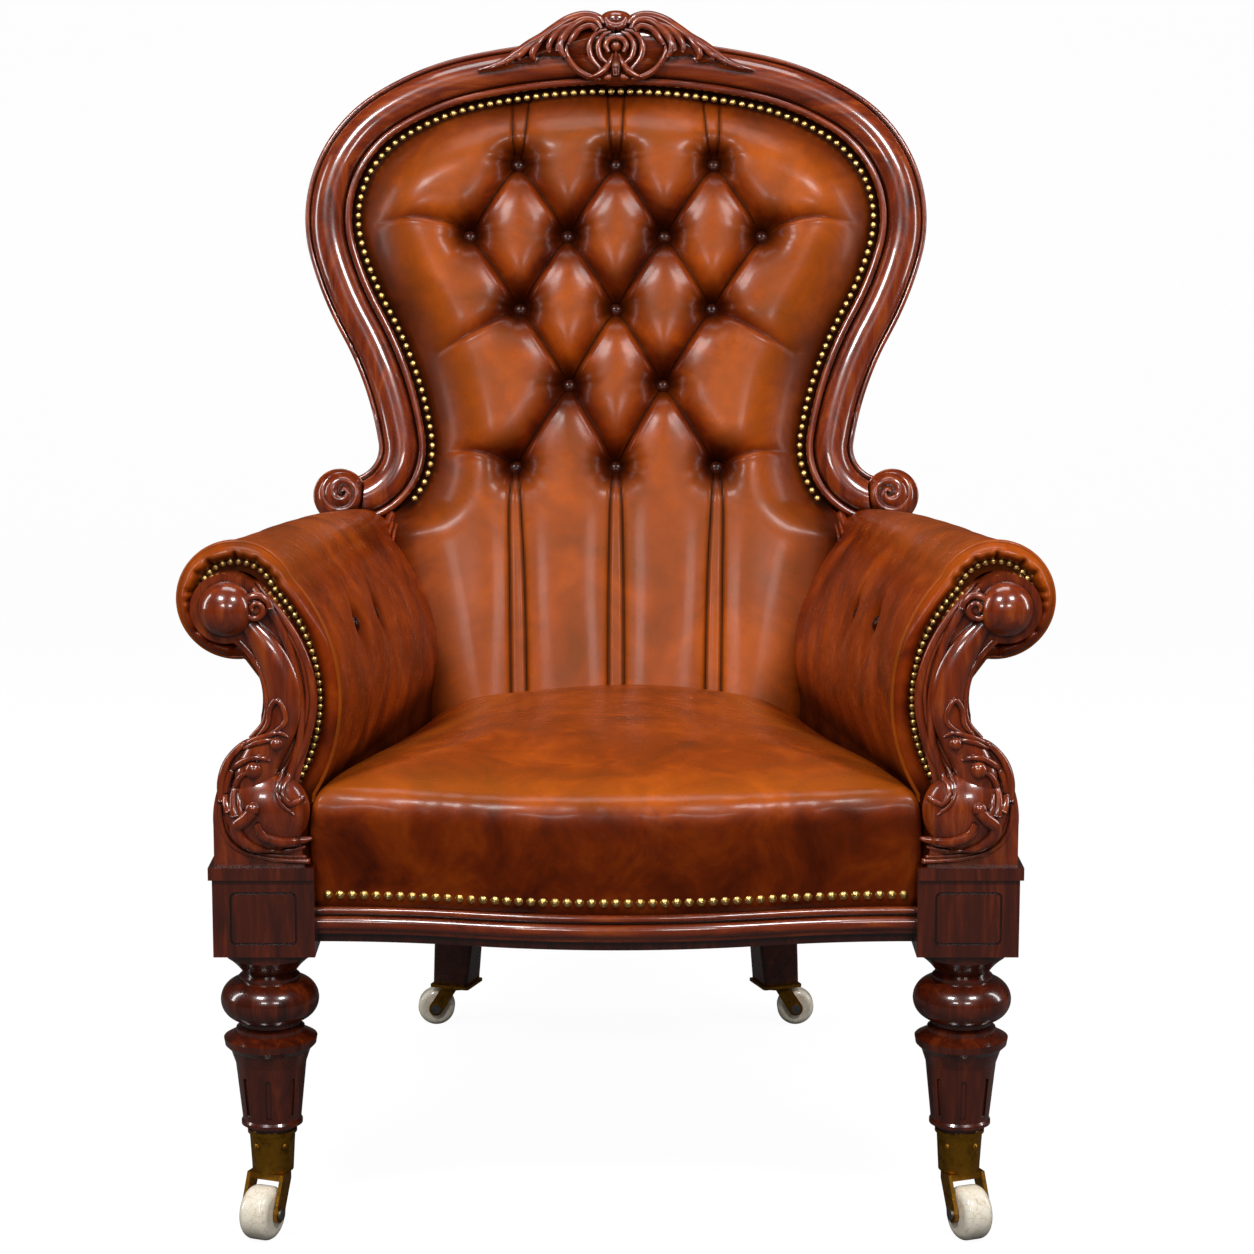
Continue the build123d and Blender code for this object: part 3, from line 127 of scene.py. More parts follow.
def bell(distance: Array, width: float, power: float = 2.0) -> Array:
    """A hill that is 1 at no distance and sinks to 0 beyond its width."""
    return np.exp(-(distance / width) ** power)


def darkest(*shades: Array) -> Array:
    """The darkest of several shades, place by place."""
    return np.maximum.reduce(np.broadcast_arrays(*shades))


def grid_faces(rows: int, columns: int, closed: bool = False) -> Faces:
    """Quads of a grid of vertices stored row by row.

    Args:
        rows: how many rows of vertices.
        columns: how many vertices in each row.
        closed: whether the last column joins the first.
    Returns:
        Four vertex numbers for each quad.
    """
    across = columns if closed else columns - 1
    faces = []
    for row in range(rows - 1):
        for column in range(across):
            following = (column + 1) % columns
            low, high = row * columns, (row + 1) * columns
            faces.append((low + column, low + following, high + following, high + column))
    return faces


def end_caps(rows: int, sides: int) -> Faces:
    """The first and the last ring of a closed grid, as two faces that look away from each other."""
    last = (rows - 1) * sides
    return [tuple(range(sides)), tuple(last + i for i in reversed(range(sides)))]


def closing_fan(rows: int, sides: int) -> Faces:
    """Triangles from the last ring of a closed grid to the one vertex stored after it."""
    last = (rows - 1) * sides
    return [(last + i, last + (i + 1) % sides, rows * sides) for i in range(sides)]


def make_piece(name: str, points: Array, faces: Sequence, finish: bpy.types.Material,
               layers: dict[str, Array] | None = None) -> bpy.types.Object:
    """Makes a smooth mesh piece from points in millimetres and lets it ride on the chair.

    Args:
        name: the piece's name.
        points: one row of x, y and z for each vertex.
        faces: vertex numbers of each face.
        finish: its material.
        layers: named values for each vertex, which the finish reads.
    Returns:
        The new object.
    """
    mesh = bpy.data.meshes.new(name)
    mesh.from_pydata((np.asarray(points) * MM).tolist(), [], list(faces))
    mesh.update()
    mesh.shade_smooth()
    for key, values in (layers or {}).items():
        layer = mesh.attributes.new(key, "FLOAT", "POINT")
        layer.data.foreach_set("value", np.asarray(values, np.float32))
    mesh.materials.append(finish)
    piece = bpy.data.objects.new(name, mesh)
    bpy.context.scene.collection.objects.link(piece)
    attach(piece, CHAIR)
    log.info("%s: %d vertices", name, len(mesh.vertices))
    return piece


def mirrored(points: Array) -> Array:
    """The points on the other side of the chair's middle."""
    return np.asarray(points) * np.array([-1.0, 1.0, 1.0])


def flipped(faces: Sequence) -> Faces:
    """Faces with their order turned round, for a mirrored piece."""
    return [tuple(reversed(face)) for face in faces]


def along(points: Array, count: int) -> Array:
    """A line of points spaced evenly along another line.

    Args:
        points: the line.
        count: how many points the new line has.
    Returns:
        The new line, with the same ends.
    """
    steps = np.r_[0.0, np.cumsum(np.linalg.norm(np.diff(points, axis=0), axis=1))]
    places = np.linspace(0.0, steps[-1], count)
    axes = range(points.shape[1])
    return np.stack([np.interp(places, steps, points[:, axis]) for axis in axes], 1)


def length_of(line: Array) -> float:
    """How long a line of points is."""
    return float(np.linalg.norm(np.diff(line, axis=0), axis=1).sum())


def smooth_line(points: Sequence, count: int) -> Array:
    """A Catmull-Rom line through a few points.

    Args:
        points: the places that it goes through.
        count: how many points it comes back with.
    Returns:
        The line's points, evenly spaced.
    """
    knots = np.asarray(points, float)
    knots = np.vstack([2 * knots[0] - knots[1], knots, 2 * knots[-1] - knots[-2]])
    share = np.linspace(0.0, 1.0, 24, endpoint=False)[:, None]
    runs = []
    for before, start, end, after in zip(knots, knots[1:], knots[2:], knots[3:]):
        runs.append(0.5 * (2 * start + (end - before) * share
                           + (2 * before - 5 * start + 4 * end - after) * share ** 2
                           + (3 * start - before - 3 * end + after) * share ** 3))
    return along(np.vstack(runs + [knots[-2][None, :]]), count)


def rounded_sweep(line: Array, radii: Array, facing: Array, flatness: float = 1.0,
                  sides: int = 10) -> tuple[Array, Faces]:
    """A rod along a line, its width changing and its section an ellipse.

    Args:
        line: the middle of the rod.
        radii: its radius at each point.
        facing: the direction in which the section is flattened.
        flatness: the section's height over its width.
        sides: how many vertices go round it.
    Returns:
        The vertices and the faces.
    """
    heading = np.gradient(line, axis=0)
    heading /= np.linalg.norm(heading, axis=1)[:, None] + TINY
    out = np.broadcast_to(facing, line.shape)
    across = np.cross(heading, out)
    across /= np.linalg.norm(across, axis=1)[:, None] + TINY
    up = np.cross(across, heading)
    turn = np.linspace(0.0, 2 * math.pi, sides, endpoint=False)
    ring = (np.cos(turn)[None, :, None] * across[:, None, :]
            + np.sin(turn)[None, :, None] * up[:, None, :] * flatness)
    points = line[:, None, :] + ring * np.asarray(radii)[:, None, None]
    faces = grid_faces(len(line), sides, closed=True) + end_caps(len(line), sides)
    return points.reshape(-1, 3), flipped(faces)


def dome(place: Array, out: Array, radius: float, rise: float, rim: int = 14,
         sides: int = 24) -> tuple[Array, Faces]:
    """A button or nail head on its back.

    Args:
        place: the middle of its foot.
        out: the direction that it faces.
        radius, rise: its size across and its height.
        rim, sides: how many vertices go up it and round it.
    Returns:
        The vertices and the faces.
    """
    first = np.cross(out, [0.3, 0.2, 1.0])
    first /= np.linalg.norm(first)
    second = np.cross(out, first)
    turn = np.linspace(0, 2 * math.pi, sides, endpoint=False)
    ring = np.cos(turn)[:, None] * first + np.sin(turn)[:, None] * second
    rings = []
    for climb in np.linspace(0, math.pi / 2, rim, endpoint=False):
        rings.append(place + ring * radius * math.cos(climb) ** 0.85 + out * rise * math.sin(climb))
    faces = grid_faces(rim, sides, closed=True) + closing_fan(rim, sides)
    return np.vstack(rings + [(place + out * rise)[None, :]]), faces


class MeshPile:
    """Several small shapes gathered into one piece."""

    def __init__(self) -> None:
        """Starts an empty pile."""
        self.points: list[Array] = []
        self.faces: Faces = []
        self.count = 0

    def add(self, points: Array, faces: Sequence) -> None:
        """Adds one shape.

        Args:
            points: its vertices.
            faces: its faces, numbered from its own first vertex.
        """
        self.points.append(np.asarray(points, float))
        self.faces.extend(tuple(number + self.count for number in face) for face in faces)
        self.count += len(points)

    def add_both(self, points: Array, faces: Sequence) -> None:
        """Adds a shape and its mirror image."""
        self.add(points, faces)
        self.add(mirrored(points), flipped(faces))

    def make(self, name: str, finish: bpy.types.Material) -> bpy.types.Object:
        """Makes the pile into a piece."""
        return make_piece(name, np.vstack(self.points), self.faces, finish)


# Finishes
#
# Sockets that share a name are given by number. A Mix of colours has its factor at 0 and its
# colours at 6 and 7. A Map Range has its value at 0, its range at 1 and 2, its result's at 3 and 4.

def per_metre(size_mm: float) -> float:
    """The scale of a texture whose pattern has this size in millimetres."""
    return 1000.0 / size_mm


def start_material(name: str) -> tuple[bpy.types.Material, bpy.types.NodeTree]:
    """Starts a material.

    Args:
        name: the finish's name.
    Returns:
        The material, and its node tree with nothing in it.
    """
    made = bpy.data.materials.new(name)
    made.use_nodes = True
    made.node_tree.nodes.clear()
    return made, made.node_tree


class Grain(Enum):
    """The way that the wood's grain runs, as the stretch of its pattern."""

    UPRIGHT = (1.0, 1.0, 0.12)
    ACROSS = (0.12, 1.0, 1.0)


@dataclass(frozen=True)
class WaxedHide:
    """Aniline-dyed cowhide, hand-stained and waxed.

    To the eye it is mottled tan with painted-shade folds, a fine pebbled grain and a soft shine.
    """

    name: str = "waxed_tan_hide"
    deep: str = "#481302"
    middle: str = "#7C2A03"
    light: str = "#A24307"
    # The colour of wear and painted sheen on the raised places.
    wear_and_sheen: str = "#BE6418"
    # fold is the colour of the painted shade in folds, wells and along the edges.
    fold: str = "#120401"
    mottle_mm: float = 70.0
    stain_mm: float = 11.0
    pebble_mm: float = 1.1
    wrinkle_mm: float = 4.5
    roughness: float = 0.27
    coat: float = 0.13

    def material(self) -> bpy.types.Material:
        """Builds the hide's node material.

        Returns:
            The material.
        """
        made, tree = start_material(self.name)
        place = add_node(tree, "ShaderNodeTexCoord").outputs["Object"]
        mottle = add_node(tree, "ShaderNodeTexNoise",
                          {"Vector": place, "Scale": per_metre(self.mottle_mm), "Detail": 5.0,
                           "Roughness": 0.62, "Distortion": 0.6})
        body = add_node(tree, "ShaderNodeValToRGB", {0: mottle.outputs["Fac"]},
                        stops=[(0.30, linear(self.deep)), (0.50, linear(self.middle)),
                               (0.68, linear(self.light))])
        stain = add_node(tree, "ShaderNodeTexNoise",
                         {"Vector": place, "Scale": per_metre(self.stain_mm), "Detail": 6.0,
                          "Roughness": 0.7})
        stain_share = add_node(tree, "ShaderNodeMapRange",
                               {0: stain.outputs["Fac"], 1: 0.42, 2: 0.75, 3: 0.0, 4: 0.38})
        mixed = add_node(tree, "ShaderNodeMix", {0: stain_share.outputs[0], 6: body.outputs[0],
                                                 7: linear(self.deep)}, data_type="RGBA")
        # Wear and painted sheen: the raised places are lightened towards the lighter colour.
        wear_and_sheen = add_node(tree, "ShaderNodeAttribute", attribute_name="wear_and_sheen").outputs["Fac"]
        wear_and_sheen_share = add_node(tree, "ShaderNodeMath", {0: wear_and_sheen, 1: 0.4}, operation="MULTIPLY")
        lifted = add_node(tree, "ShaderNodeMix", {0: wear_and_sheen_share.outputs[0], 6: mixed.outputs[2],
                                                  7: linear(self.wear_and_sheen)}, data_type="RGBA")
        # The shade layer paints shade: it darkens the hide towards the fold colour in wells,
        # creases, stitched grooves and along the edges.
        shade = add_node(tree, "ShaderNodeAttribute", attribute_name="shade").outputs["Fac"]
        folded = add_node(tree, "ShaderNodeMix", {0: shade, 6: lifted.outputs[2],
                                                  7: linear(self.fold)}, data_type="RGBA")
        pebble = add_node(tree, "ShaderNodeTexVoronoi", {"Vector": place,
                                                         "Scale": per_metre(self.pebble_mm)},
                          feature="DISTANCE_TO_EDGE")
        crack = add_node(tree, "ShaderNodeMath", {0: pebble.outputs["Distance"], 1: 0.35},
                         operation="MINIMUM")
        hide_lines = add_node(tree, "ShaderNodeTexNoise",
                              {"Vector": place, "Scale": per_metre(self.wrinkle_mm), "Detail": 5.0,
                               "Roughness": 0.65})
        height = add_node(tree, "ShaderNodeMath",
                          {0: crack.outputs[0], 1: hide_lines.outputs["Fac"]}, operation="ADD")
        bump = add_node(tree, "ShaderNodeBump", {"Height": height.outputs[0], "Strength": 0.16,
                                                 "Distance": 0.0006})
        gloss = add_node(tree, "ShaderNodeMapRange", {0: stain.outputs["Fac"], 1: 0.3, 2: 0.7,
                                                      3: self.roughness - 0.05,
                                                      4: self.roughness + 0.12})
        dulled = add_node(tree, "ShaderNodeMath", {0: shade, 1: 0.1, 2: gloss.outputs[0]},
                          operation="MULTIPLY_ADD")
        # Where shade is painted, the specular tint goes nearly black and the coat thins, so the
        # painted shade takes no reflection.
        shade_dimmed_tint = add_node(tree, "ShaderNodeMix", {0: shade, 6: WHITE,
                                                 7: (0.04, 0.02, 0.01, 1.0)}, data_type="RGBA")
        coat = add_node(tree, "ShaderNodeMapRange", {0: shade, 3: self.coat, 4: 0.0})
        shader = add_node(tree, "ShaderNodeBsdfPrincipled",
                          {"Base Color": folded.outputs[2], "Roughness": dulled.outputs[0],
                           "IOR": 1.5, "Specular IOR Level": 0.16,
                           "Specular Tint": shade_dimmed_tint.outputs[2], "Coat Weight": coat.outputs[0],
                           "Coat Roughness": 0.16, "Normal": bump.outputs[0]})
        add_node(tree, "ShaderNodeOutputMaterial", {"Surface": shader.outputs[0]})
        return made


@dataclass(frozen=True)
class PolishedMahogany:
    """Mahogany, stained red-brown and French polished.

    To the eye it is a dark streaked grain under a clear, crisp gloss. Its pores are drawn about
    three times as coarse as real ones, so that they show.
    """

    name: str = "french_polished_mahogany"
    grain: Grain = Grain.UPRIGHT
    dark: str = "#3C0F04"
    middle: str = "#742808"
    light: str = "#A04A14"
    # The colour of grime and painted shade in the wood's hollows.
    grime_and_shade: str = "#120402"
    streak_mm: float = 12.0
    pore_mm: float = 0.9
    ripple_mm: float = 14.0
    roughness: float = 0.20
    coat: float = 0.8

    def material(self) -> bpy.types.Material:
        """Builds the wood's node material.

        Returns:
            The material.
        """
        made, tree = start_material(self.name)
        place = add_node(tree, "ShaderNodeTexCoord").outputs["Object"]
        stretched = add_node(tree, "ShaderNodeMapping",
                             {"Vector": place, "Scale": self.grain.value})
        streak = add_node(tree, "ShaderNodeTexNoise",
                          {"Vector": stretched.outputs[0], "Scale": per_metre(self.streak_mm),
                           "Detail": 7.0, "Roughness": 0.6, "Distortion": 0.8})
        body = add_node(tree, "ShaderNodeValToRGB", {0: streak.outputs["Fac"]},
                        stops=[(0.25, linear(self.dark)), (0.52, linear(self.middle)),
                               (0.80, linear(self.light))])
        pores = add_node(tree, "ShaderNodeTexNoise",
                         {"Vector": stretched.outputs[0], "Scale": per_metre(self.pore_mm),
                          "Detail": 3.0})
        pore_share = add_node(tree, "ShaderNodeMapRange",
                              {0: pores.outputs["Fac"], 1: 0.56, 2: 0.72, 3: 0.0, 4: 0.5})
        pored = add_node(tree, "ShaderNodeMix", {0: pore_share.outputs[0], 6: body.outputs[0],
                                                 7: linear(self.dark)}, data_type="RGBA")
        # Grime and painted shade: hollows that ambient occlusion finds are darkened towards the
        # grime colour.
        hollow = add_node(tree, "ShaderNodeAmbientOcclusion", {"Distance": 0.012}, samples=6)
        grime_and_shade = add_node(tree, "ShaderNodeMapRange", {0: hollow.outputs["AO"], 1: 0.35, 2: 0.85,
                                                      3: 0.85, 4: 0.0})
        grimed_and_shaded = add_node(tree, "ShaderNodeMix", {0: grime_and_shade.outputs[0], 6: pored.outputs[2],
                                                7: linear(self.grime_and_shade)}, data_type="RGBA")
        ripple = add_node(tree, "ShaderNodeTexNoise",
                          {"Vector": place, "Scale": per_metre(self.ripple_mm), "Detail": 2.0})
        bump = add_node(tree, "ShaderNodeBump", {"Height": ripple.outputs["Fac"], "Strength": 0.08,
                                                 "Distance": 0.001})
        gloss = add_node(tree, "ShaderNodeMapRange", {0: pores.outputs["Fac"], 1: 0.3, 2: 0.7,
                                                      3: self.roughness, 4: self.roughness + 0.1})
        shader = add_node(tree, "ShaderNodeBsdfPrincipled",
                          {"Base Color": grimed_and_shaded.outputs[2], "Roughness": gloss.outputs[0], "IOR": 1.5,
                           "Coat Weight": self.coat, "Coat Roughness": 0.05,
                           "Normal": bump.outputs[0]})
        add_node(tree, "ShaderNodeOutputMaterial", {"Surface": shader.outputs[0]})
        return made


@dataclass(frozen=True)
class AgedMetal:
    """Cast or drawn metal, handled and dulled.

    To the eye it is bright with brown tarnish in patches and faint scratches, which are coarser
    than real ones, so that they show.
    """

    name: str = "aged_brass"
    bright: str = "#B5873F"
    tarnish: str = "#4F3211"
    tarnish_mm: float = 7.0
    scratch_mm: float = 1.2
    roughness: float = 0.30
    tarnish_from: float = 0.46

    def material(self) -> bpy.types.Material:
        """Builds the metal's node material.

        Returns:
            The material.
        """
        made, tree = start_material(self.name)
        place = add_node(tree, "ShaderNodeTexCoord").outputs["Object"]
        patch = add_node(tree, "ShaderNodeTexNoise",
                         {"Vector": place, "Scale": per_metre(self.tarnish_mm), "Detail": 6.0,
                          "Roughness": 0.65})
        share = add_node(tree, "ShaderNodeMapRange", {0: patch.outputs["Fac"], 1: self.tarnish_from,
                                                      2: self.tarnish_from + 0.22, 3: 0.0, 4: 0.8})
        colour = add_node(tree, "ShaderNodeMix", {0: share.outputs[0], 6: linear(self.bright),
                                                  7: linear(self.tarnish)}, data_type="RGBA")
        gloss = add_node(tree, "ShaderNodeMapRange", {0: patch.outputs["Fac"], 1: 0.35, 2: 0.7,
                                                      3: self.roughness, 4: self.roughness + 0.25})
        scratch = add_node(tree, "ShaderNodeTexNoise",
                           {"Vector": place, "Scale": per_metre(self.scratch_mm), "Detail": 4.0})
        bump = add_node(tree, "ShaderNodeBump", {"Height": scratch.outputs["Fac"], "Strength": 0.12,
                                                 "Distance": 0.0003})
        shader = add_node(tree, "ShaderNodeBsdfPrincipled",
                          {"Base Color": colour.outputs[2], "Metallic": 1.0,
                           "Roughness": gloss.outputs[0], "Normal": bump.outputs[0]})
        add_node(tree, "ShaderNodeOutputMaterial", {"Surface": shader.outputs[0]})
        return made


@dataclass(frozen=True)
class CrazedPorcelain:
    """Glazed porcelain, thrown and fired: cream, with brown-stained crazing and a hard shine."""

    name: str = "crazed_porcelain"
    glaze: str = "#E9E0CE"
    cloud: str = "#C9B591"
    stain: str = "#8A6A44"
    craze_mm: float = 7.0
    warp_mm: float = 12.0
    cloud_mm: float = 9.0

    def material(self) -> bpy.types.Material:
        """Builds the porcelain's node material.

        Returns:
            The material.
        """
        made, tree = start_material(self.name)
        place = add_node(tree, "ShaderNodeTexCoord").outputs["Object"]
        warp = add_node(tree, "ShaderNodeTexNoise",
                        {"Vector": place, "Scale": per_metre(self.warp_mm), "Detail": 3.0})
        bent = add_node(tree, "ShaderNodeMix", {0: 0.012, 6: place, 7: warp.outputs["Color"]},
                        data_type="RGBA")
        cells = add_node(tree, "ShaderNodeTexVoronoi", {"Vector": bent.outputs[2],
                                                        "Scale": per_metre(self.craze_mm)},
                         feature="DISTANCE_TO_EDGE")
        crack = add_node(tree, "ShaderNodeMapRange",
                         {0: cells.outputs["Distance"], 1: 0.0, 2: 0.045, 3: 0.75, 4: 0.0})
        cloud = add_node(tree, "ShaderNodeTexNoise",
                         {"Vector": place, "Scale": per_metre(self.cloud_mm), "Detail": 4.0})
        cloud_share = add_node(tree, "ShaderNodeMapRange",
                               {0: cloud.outputs["Fac"], 1: 0.5, 2: 0.75, 3: 0.0, 4: 0.45})
        clouded = add_node(tree, "ShaderNodeMix", {0: cloud_share.outputs[0], 6: linear(self.glaze),
                                                   7: linear(self.cloud)}, data_type="RGBA")
        some = add_node(tree, "ShaderNodeMath", {0: crack.outputs[0], 1: cloud.outputs["Fac"]},
                        operation="MULTIPLY")
        colour = add_node(tree, "ShaderNodeMix", {0: some.outputs[0], 6: clouded.outputs[2],
                                                  7: linear(self.stain)}, data_type="RGBA")
        shader = add_node(tree, "ShaderNodeBsdfPrincipled",
                          {"Base Color": colour.outputs[2], "Roughness": 0.18, "IOR": 1.5,
                           "Coat Weight": 0.5, "Coat Roughness": 0.05})
        add_node(tree, "ShaderNodeOutputMaterial", {"Surface": shader.outputs[0]})
        return made


@dataclass(frozen=True)
class WovenCloth:
    """Plain-woven cloth: jute webbing, canvas or cambric.

    To the eye it is crossing threads with a dull surface. The threads of canvas and cambric are
    drawn coarser than real ones, so that they show.
    """

    name: str
    thread: str
    gap: str
    thread_mm: float
    waves_per_unit: float = 20.0

    def material(self) -> bpy.types.Material:
        """Builds the cloth's node material.

        Returns:
            The material.
        """
        made, tree = start_material(self.name)
        place = add_node(tree, "ShaderNodeTexCoord").outputs["Object"]
        scale = per_metre(self.thread_mm) / self.waves_per_unit
        waves = [add_node(tree, "ShaderNodeTexWave",
                          {"Vector": place, "Scale": scale, "Distortion": 0.6, "Detail": 2.0},
                          bands_direction=way).outputs["Fac"] for way in ("X", "Y")]
        weave = add_node(tree, "ShaderNodeMath", {0: waves[0], 1: waves[1]}, operation="MAXIMUM")
        colour = add_node(tree, "ShaderNodeMix", {0: weave.outputs[0], 6: linear(self.gap),
                                                  7: linear(self.thread)}, data_type="RGBA")
        bump = add_node(tree, "ShaderNodeBump", {"Height": weave.outputs[0], "Strength": 0.5,
                                                 "Distance": 0.0006})
        shader = add_node(tree, "ShaderNodeBsdfPrincipled",
                          {"Base Color": colour.outputs[2], "Roughness": 0.9,
                           "Normal": bump.outputs[0]})
        add_node(tree, "ShaderNodeOutputMaterial", {"Surface": shader.outputs[0]})
        return made


@dataclass
class Finishes:
    """Every finish of the chair, made once."""

    hide: bpy.types.Material = field(init=False)
    plain_hide: bpy.types.Material = field(init=False)
    button_hide: bpy.types.Material = field(init=False)
    wood_up: bpy.types.Material = field(init=False)
    wood_across: bpy.types.Material = field(init=False)
    leg_wood: bpy.types.Material = field(init=False)
    inner_wood: bpy.types.Material = field(init=False)
    nail_brass: bpy.types.Material = field(init=False)
    cup_brass: bpy.types.Material = field(init=False)
    steel: bpy.types.Material = field(init=False)
    porcelain: bpy.types.Material = field(init=False)
    jute: bpy.types.Material = field(init=False)
    canvas: bpy.types.Material = field(init=False)
    cambric: bpy.types.Material = field(init=False)

    def __post_init__(self) -> None:
        """Makes the materials."""
        self.hide = WaxedHide().material()
        self.plain_hide = WaxedHide(name="waxed_hide_outside", middle="#7A2F04",
                                    light="#90400A").material()
        self.button_hide = WaxedHide(name="button_hide", deep="#1B0602", middle="#341006",
                                     light="#4A1A0B", wear_and_sheen="#5A2410", mottle_mm=9.0, stain_mm=4.0,
                                     roughness=0.2).material()
        self.wood_up = PolishedMahogany().material()
        self.wood_across = PolishedMahogany(name="mahogany_crest", grain=Grain.ACROSS).material()
        self.leg_wood = PolishedMahogany(name="mahogany_legs", dark="#240802", middle="#461404",
                                         light="#702A0A").material()
        self.inner_wood = PolishedMahogany(name="planed_beech_frame", dark="#7A5230",
                                           middle="#A87B4C", light="#C49A68",
                                           roughness=0.55, coat=0.0).material()
        self.nail_brass = AgedMetal(name="nail_brass", bright="#DDB870", tarnish="#8C652A",
                                    tarnish_mm=4.0, roughness=0.26, tarnish_from=0.5).material()
        self.cup_brass = AgedMetal(name="castor_brass", bright="#B27C26", tarnish="#4C320A",
                                   tarnish_mm=9.0, roughness=0.32, tarnish_from=0.44).material()
        self.steel = AgedMetal(name="spring_steel", bright="#8C8984", tarnish="#4A3B30",
                               tarnish_mm=10.0, roughness=0.38).material()
        self.porcelain = CrazedPorcelain().material()
        self.jute = WovenCloth("jute_webbing", "#B08F5E", "#6E5330", 1.6).material()
        self.canvas = WovenCloth("spring_canvas", "#C2B291", "#8B7B5C", 1.0).material()
        self.cambric = WovenCloth("black_cambric", "#1A1918", "#070707", 0.9).material()


# The raked plane of the back, and the lines drawn in it

@dataclass(frozen=True)
class RakedPlane:
    """The plane in which the back is drawn: x to the right, t up the plane and n out of it."""

    origin_y: float = 223.0
    origin_z: float = 600.0
    rake: float = 14.0

    def place(self, x: Array, t: Array, n: Array) -> Array:
        """Turns places in the plane into points of the chair.

        Args:
            x, t, n: how far to the right, up the plane and out of it.
        Returns:
            The points in millimetres.
        """
        lean = math.radians(self.rake)
        x, t, n = np.broadcast_arrays(np.asarray(x, float), t, n)
        return np.stack([x, self.origin_y + t * math.sin(lean) - n * math.cos(lean),
                         self.origin_z + t * math.cos(lean) + n * math.sin(lean)], -1)

    def normal(self) -> Array:
        """The direction that the plane faces."""
        lean = math.radians(self.rake)
        return np.array([0.0, -math.cos(lean), math.sin(lean)])


@dataclass(frozen=True)
class ArcLine:
    """A line of tangent arcs; a negative turn goes to the right."""

    arcs: Pairs
    step: float = 1.5

    def points(self, start: tuple[float, float], outward: float) -> tuple[Array, float]:
        """Draws the line at a distance outside its middle.

        Args:
            start: where the middle line starts, heading to the right.
            outward: the distance outside.
        Returns:
            The points, and the heading at the end in radians.
        """
        x, y, heading = start[0], start[1] + outward, 0.0
        line = [(x, y)]
        for radius, degrees in self.arcs:
            turn = math.radians(degrees)
            bend = radius + outward if turn < 0 else radius - outward
            side = 1.0 if turn > 0 else -1.0
            centre = (x - side * bend * math.sin(heading), y + side * bend * math.cos(heading))
            count = max(4, int(abs(turn) * bend / self.step))
            for i in range(1, count + 1):
                angle = heading + turn * i / count
                line.append((centre[0] + side * bend * math.sin(angle),
                             centre[1] - side * bend * math.cos(angle)))
            x, y = line[-1]
            heading += turn
        return np.array(line), heading


@dataclass(frozen=True)
class ShowFrame:
    """The moulded frame's line, from which the pad's edge and the trim are drawn."""

    top: float = 434.0
    half: float = 24.0
    joint: float = 0.3
    crest: Pairs = ((676.0, -12.75), (266.0, -20.2), (130.0, -30.6))
    stile: Pairs = ((130.0, -42.1), (350.0, -13.2), (365.0, 19.8))
    flare: tuple[float, float] = (55.0, 50.0)
    shoulder: tuple[float, float] = (75.0, -52.0)
    pad_bottom: float = -252.0

    def inner_line(self, inset: float) -> tuple[Array, float]:
        """Follows the frame's inner edge, from the top of the middle to the end of the flare.

        Args:
            inset: the distance inside the edge.
        Returns:
            The right half of the line, and the heading at its end in radians.
        """
        arcs = ArcLine(self.crest + self.stile + (self.flare,))
        return arcs.points((0.0, self.top), -(self.half + self.joint + inset))

    def pad_side(self, inset: float) -> Array:
        """The right half of the pad's edge, from the top of the middle to the foot.

        Args:
            inset: the distance inside the edge.
        Returns:
            The line's places in the plane.
        """
        line, heading = self.inner_line(inset)
        radius, degrees = self.shoulder
        turn, bend = math.radians(degrees), radius - inset
        centre = line[-1] + bend * np.array([math.sin(heading), -math.cos(heading)])
        angles = heading + turn * np.linspace(0, 1, 40)[1:]
        curve = centre + bend * np.stack([-np.sin(angles), np.cos(angles)], 1)
        slope = (math.cos(angles[-1]), math.sin(angles[-1]))
        foot = curve[-1, 0] + slope[0] / slope[1] * (self.pad_bottom - curve[-1, 1])
        down = np.linspace(curve[-1], (foot, self.pad_bottom), 120)[1:]
        return np.vstack([line, curve, down])


# The buttoned back

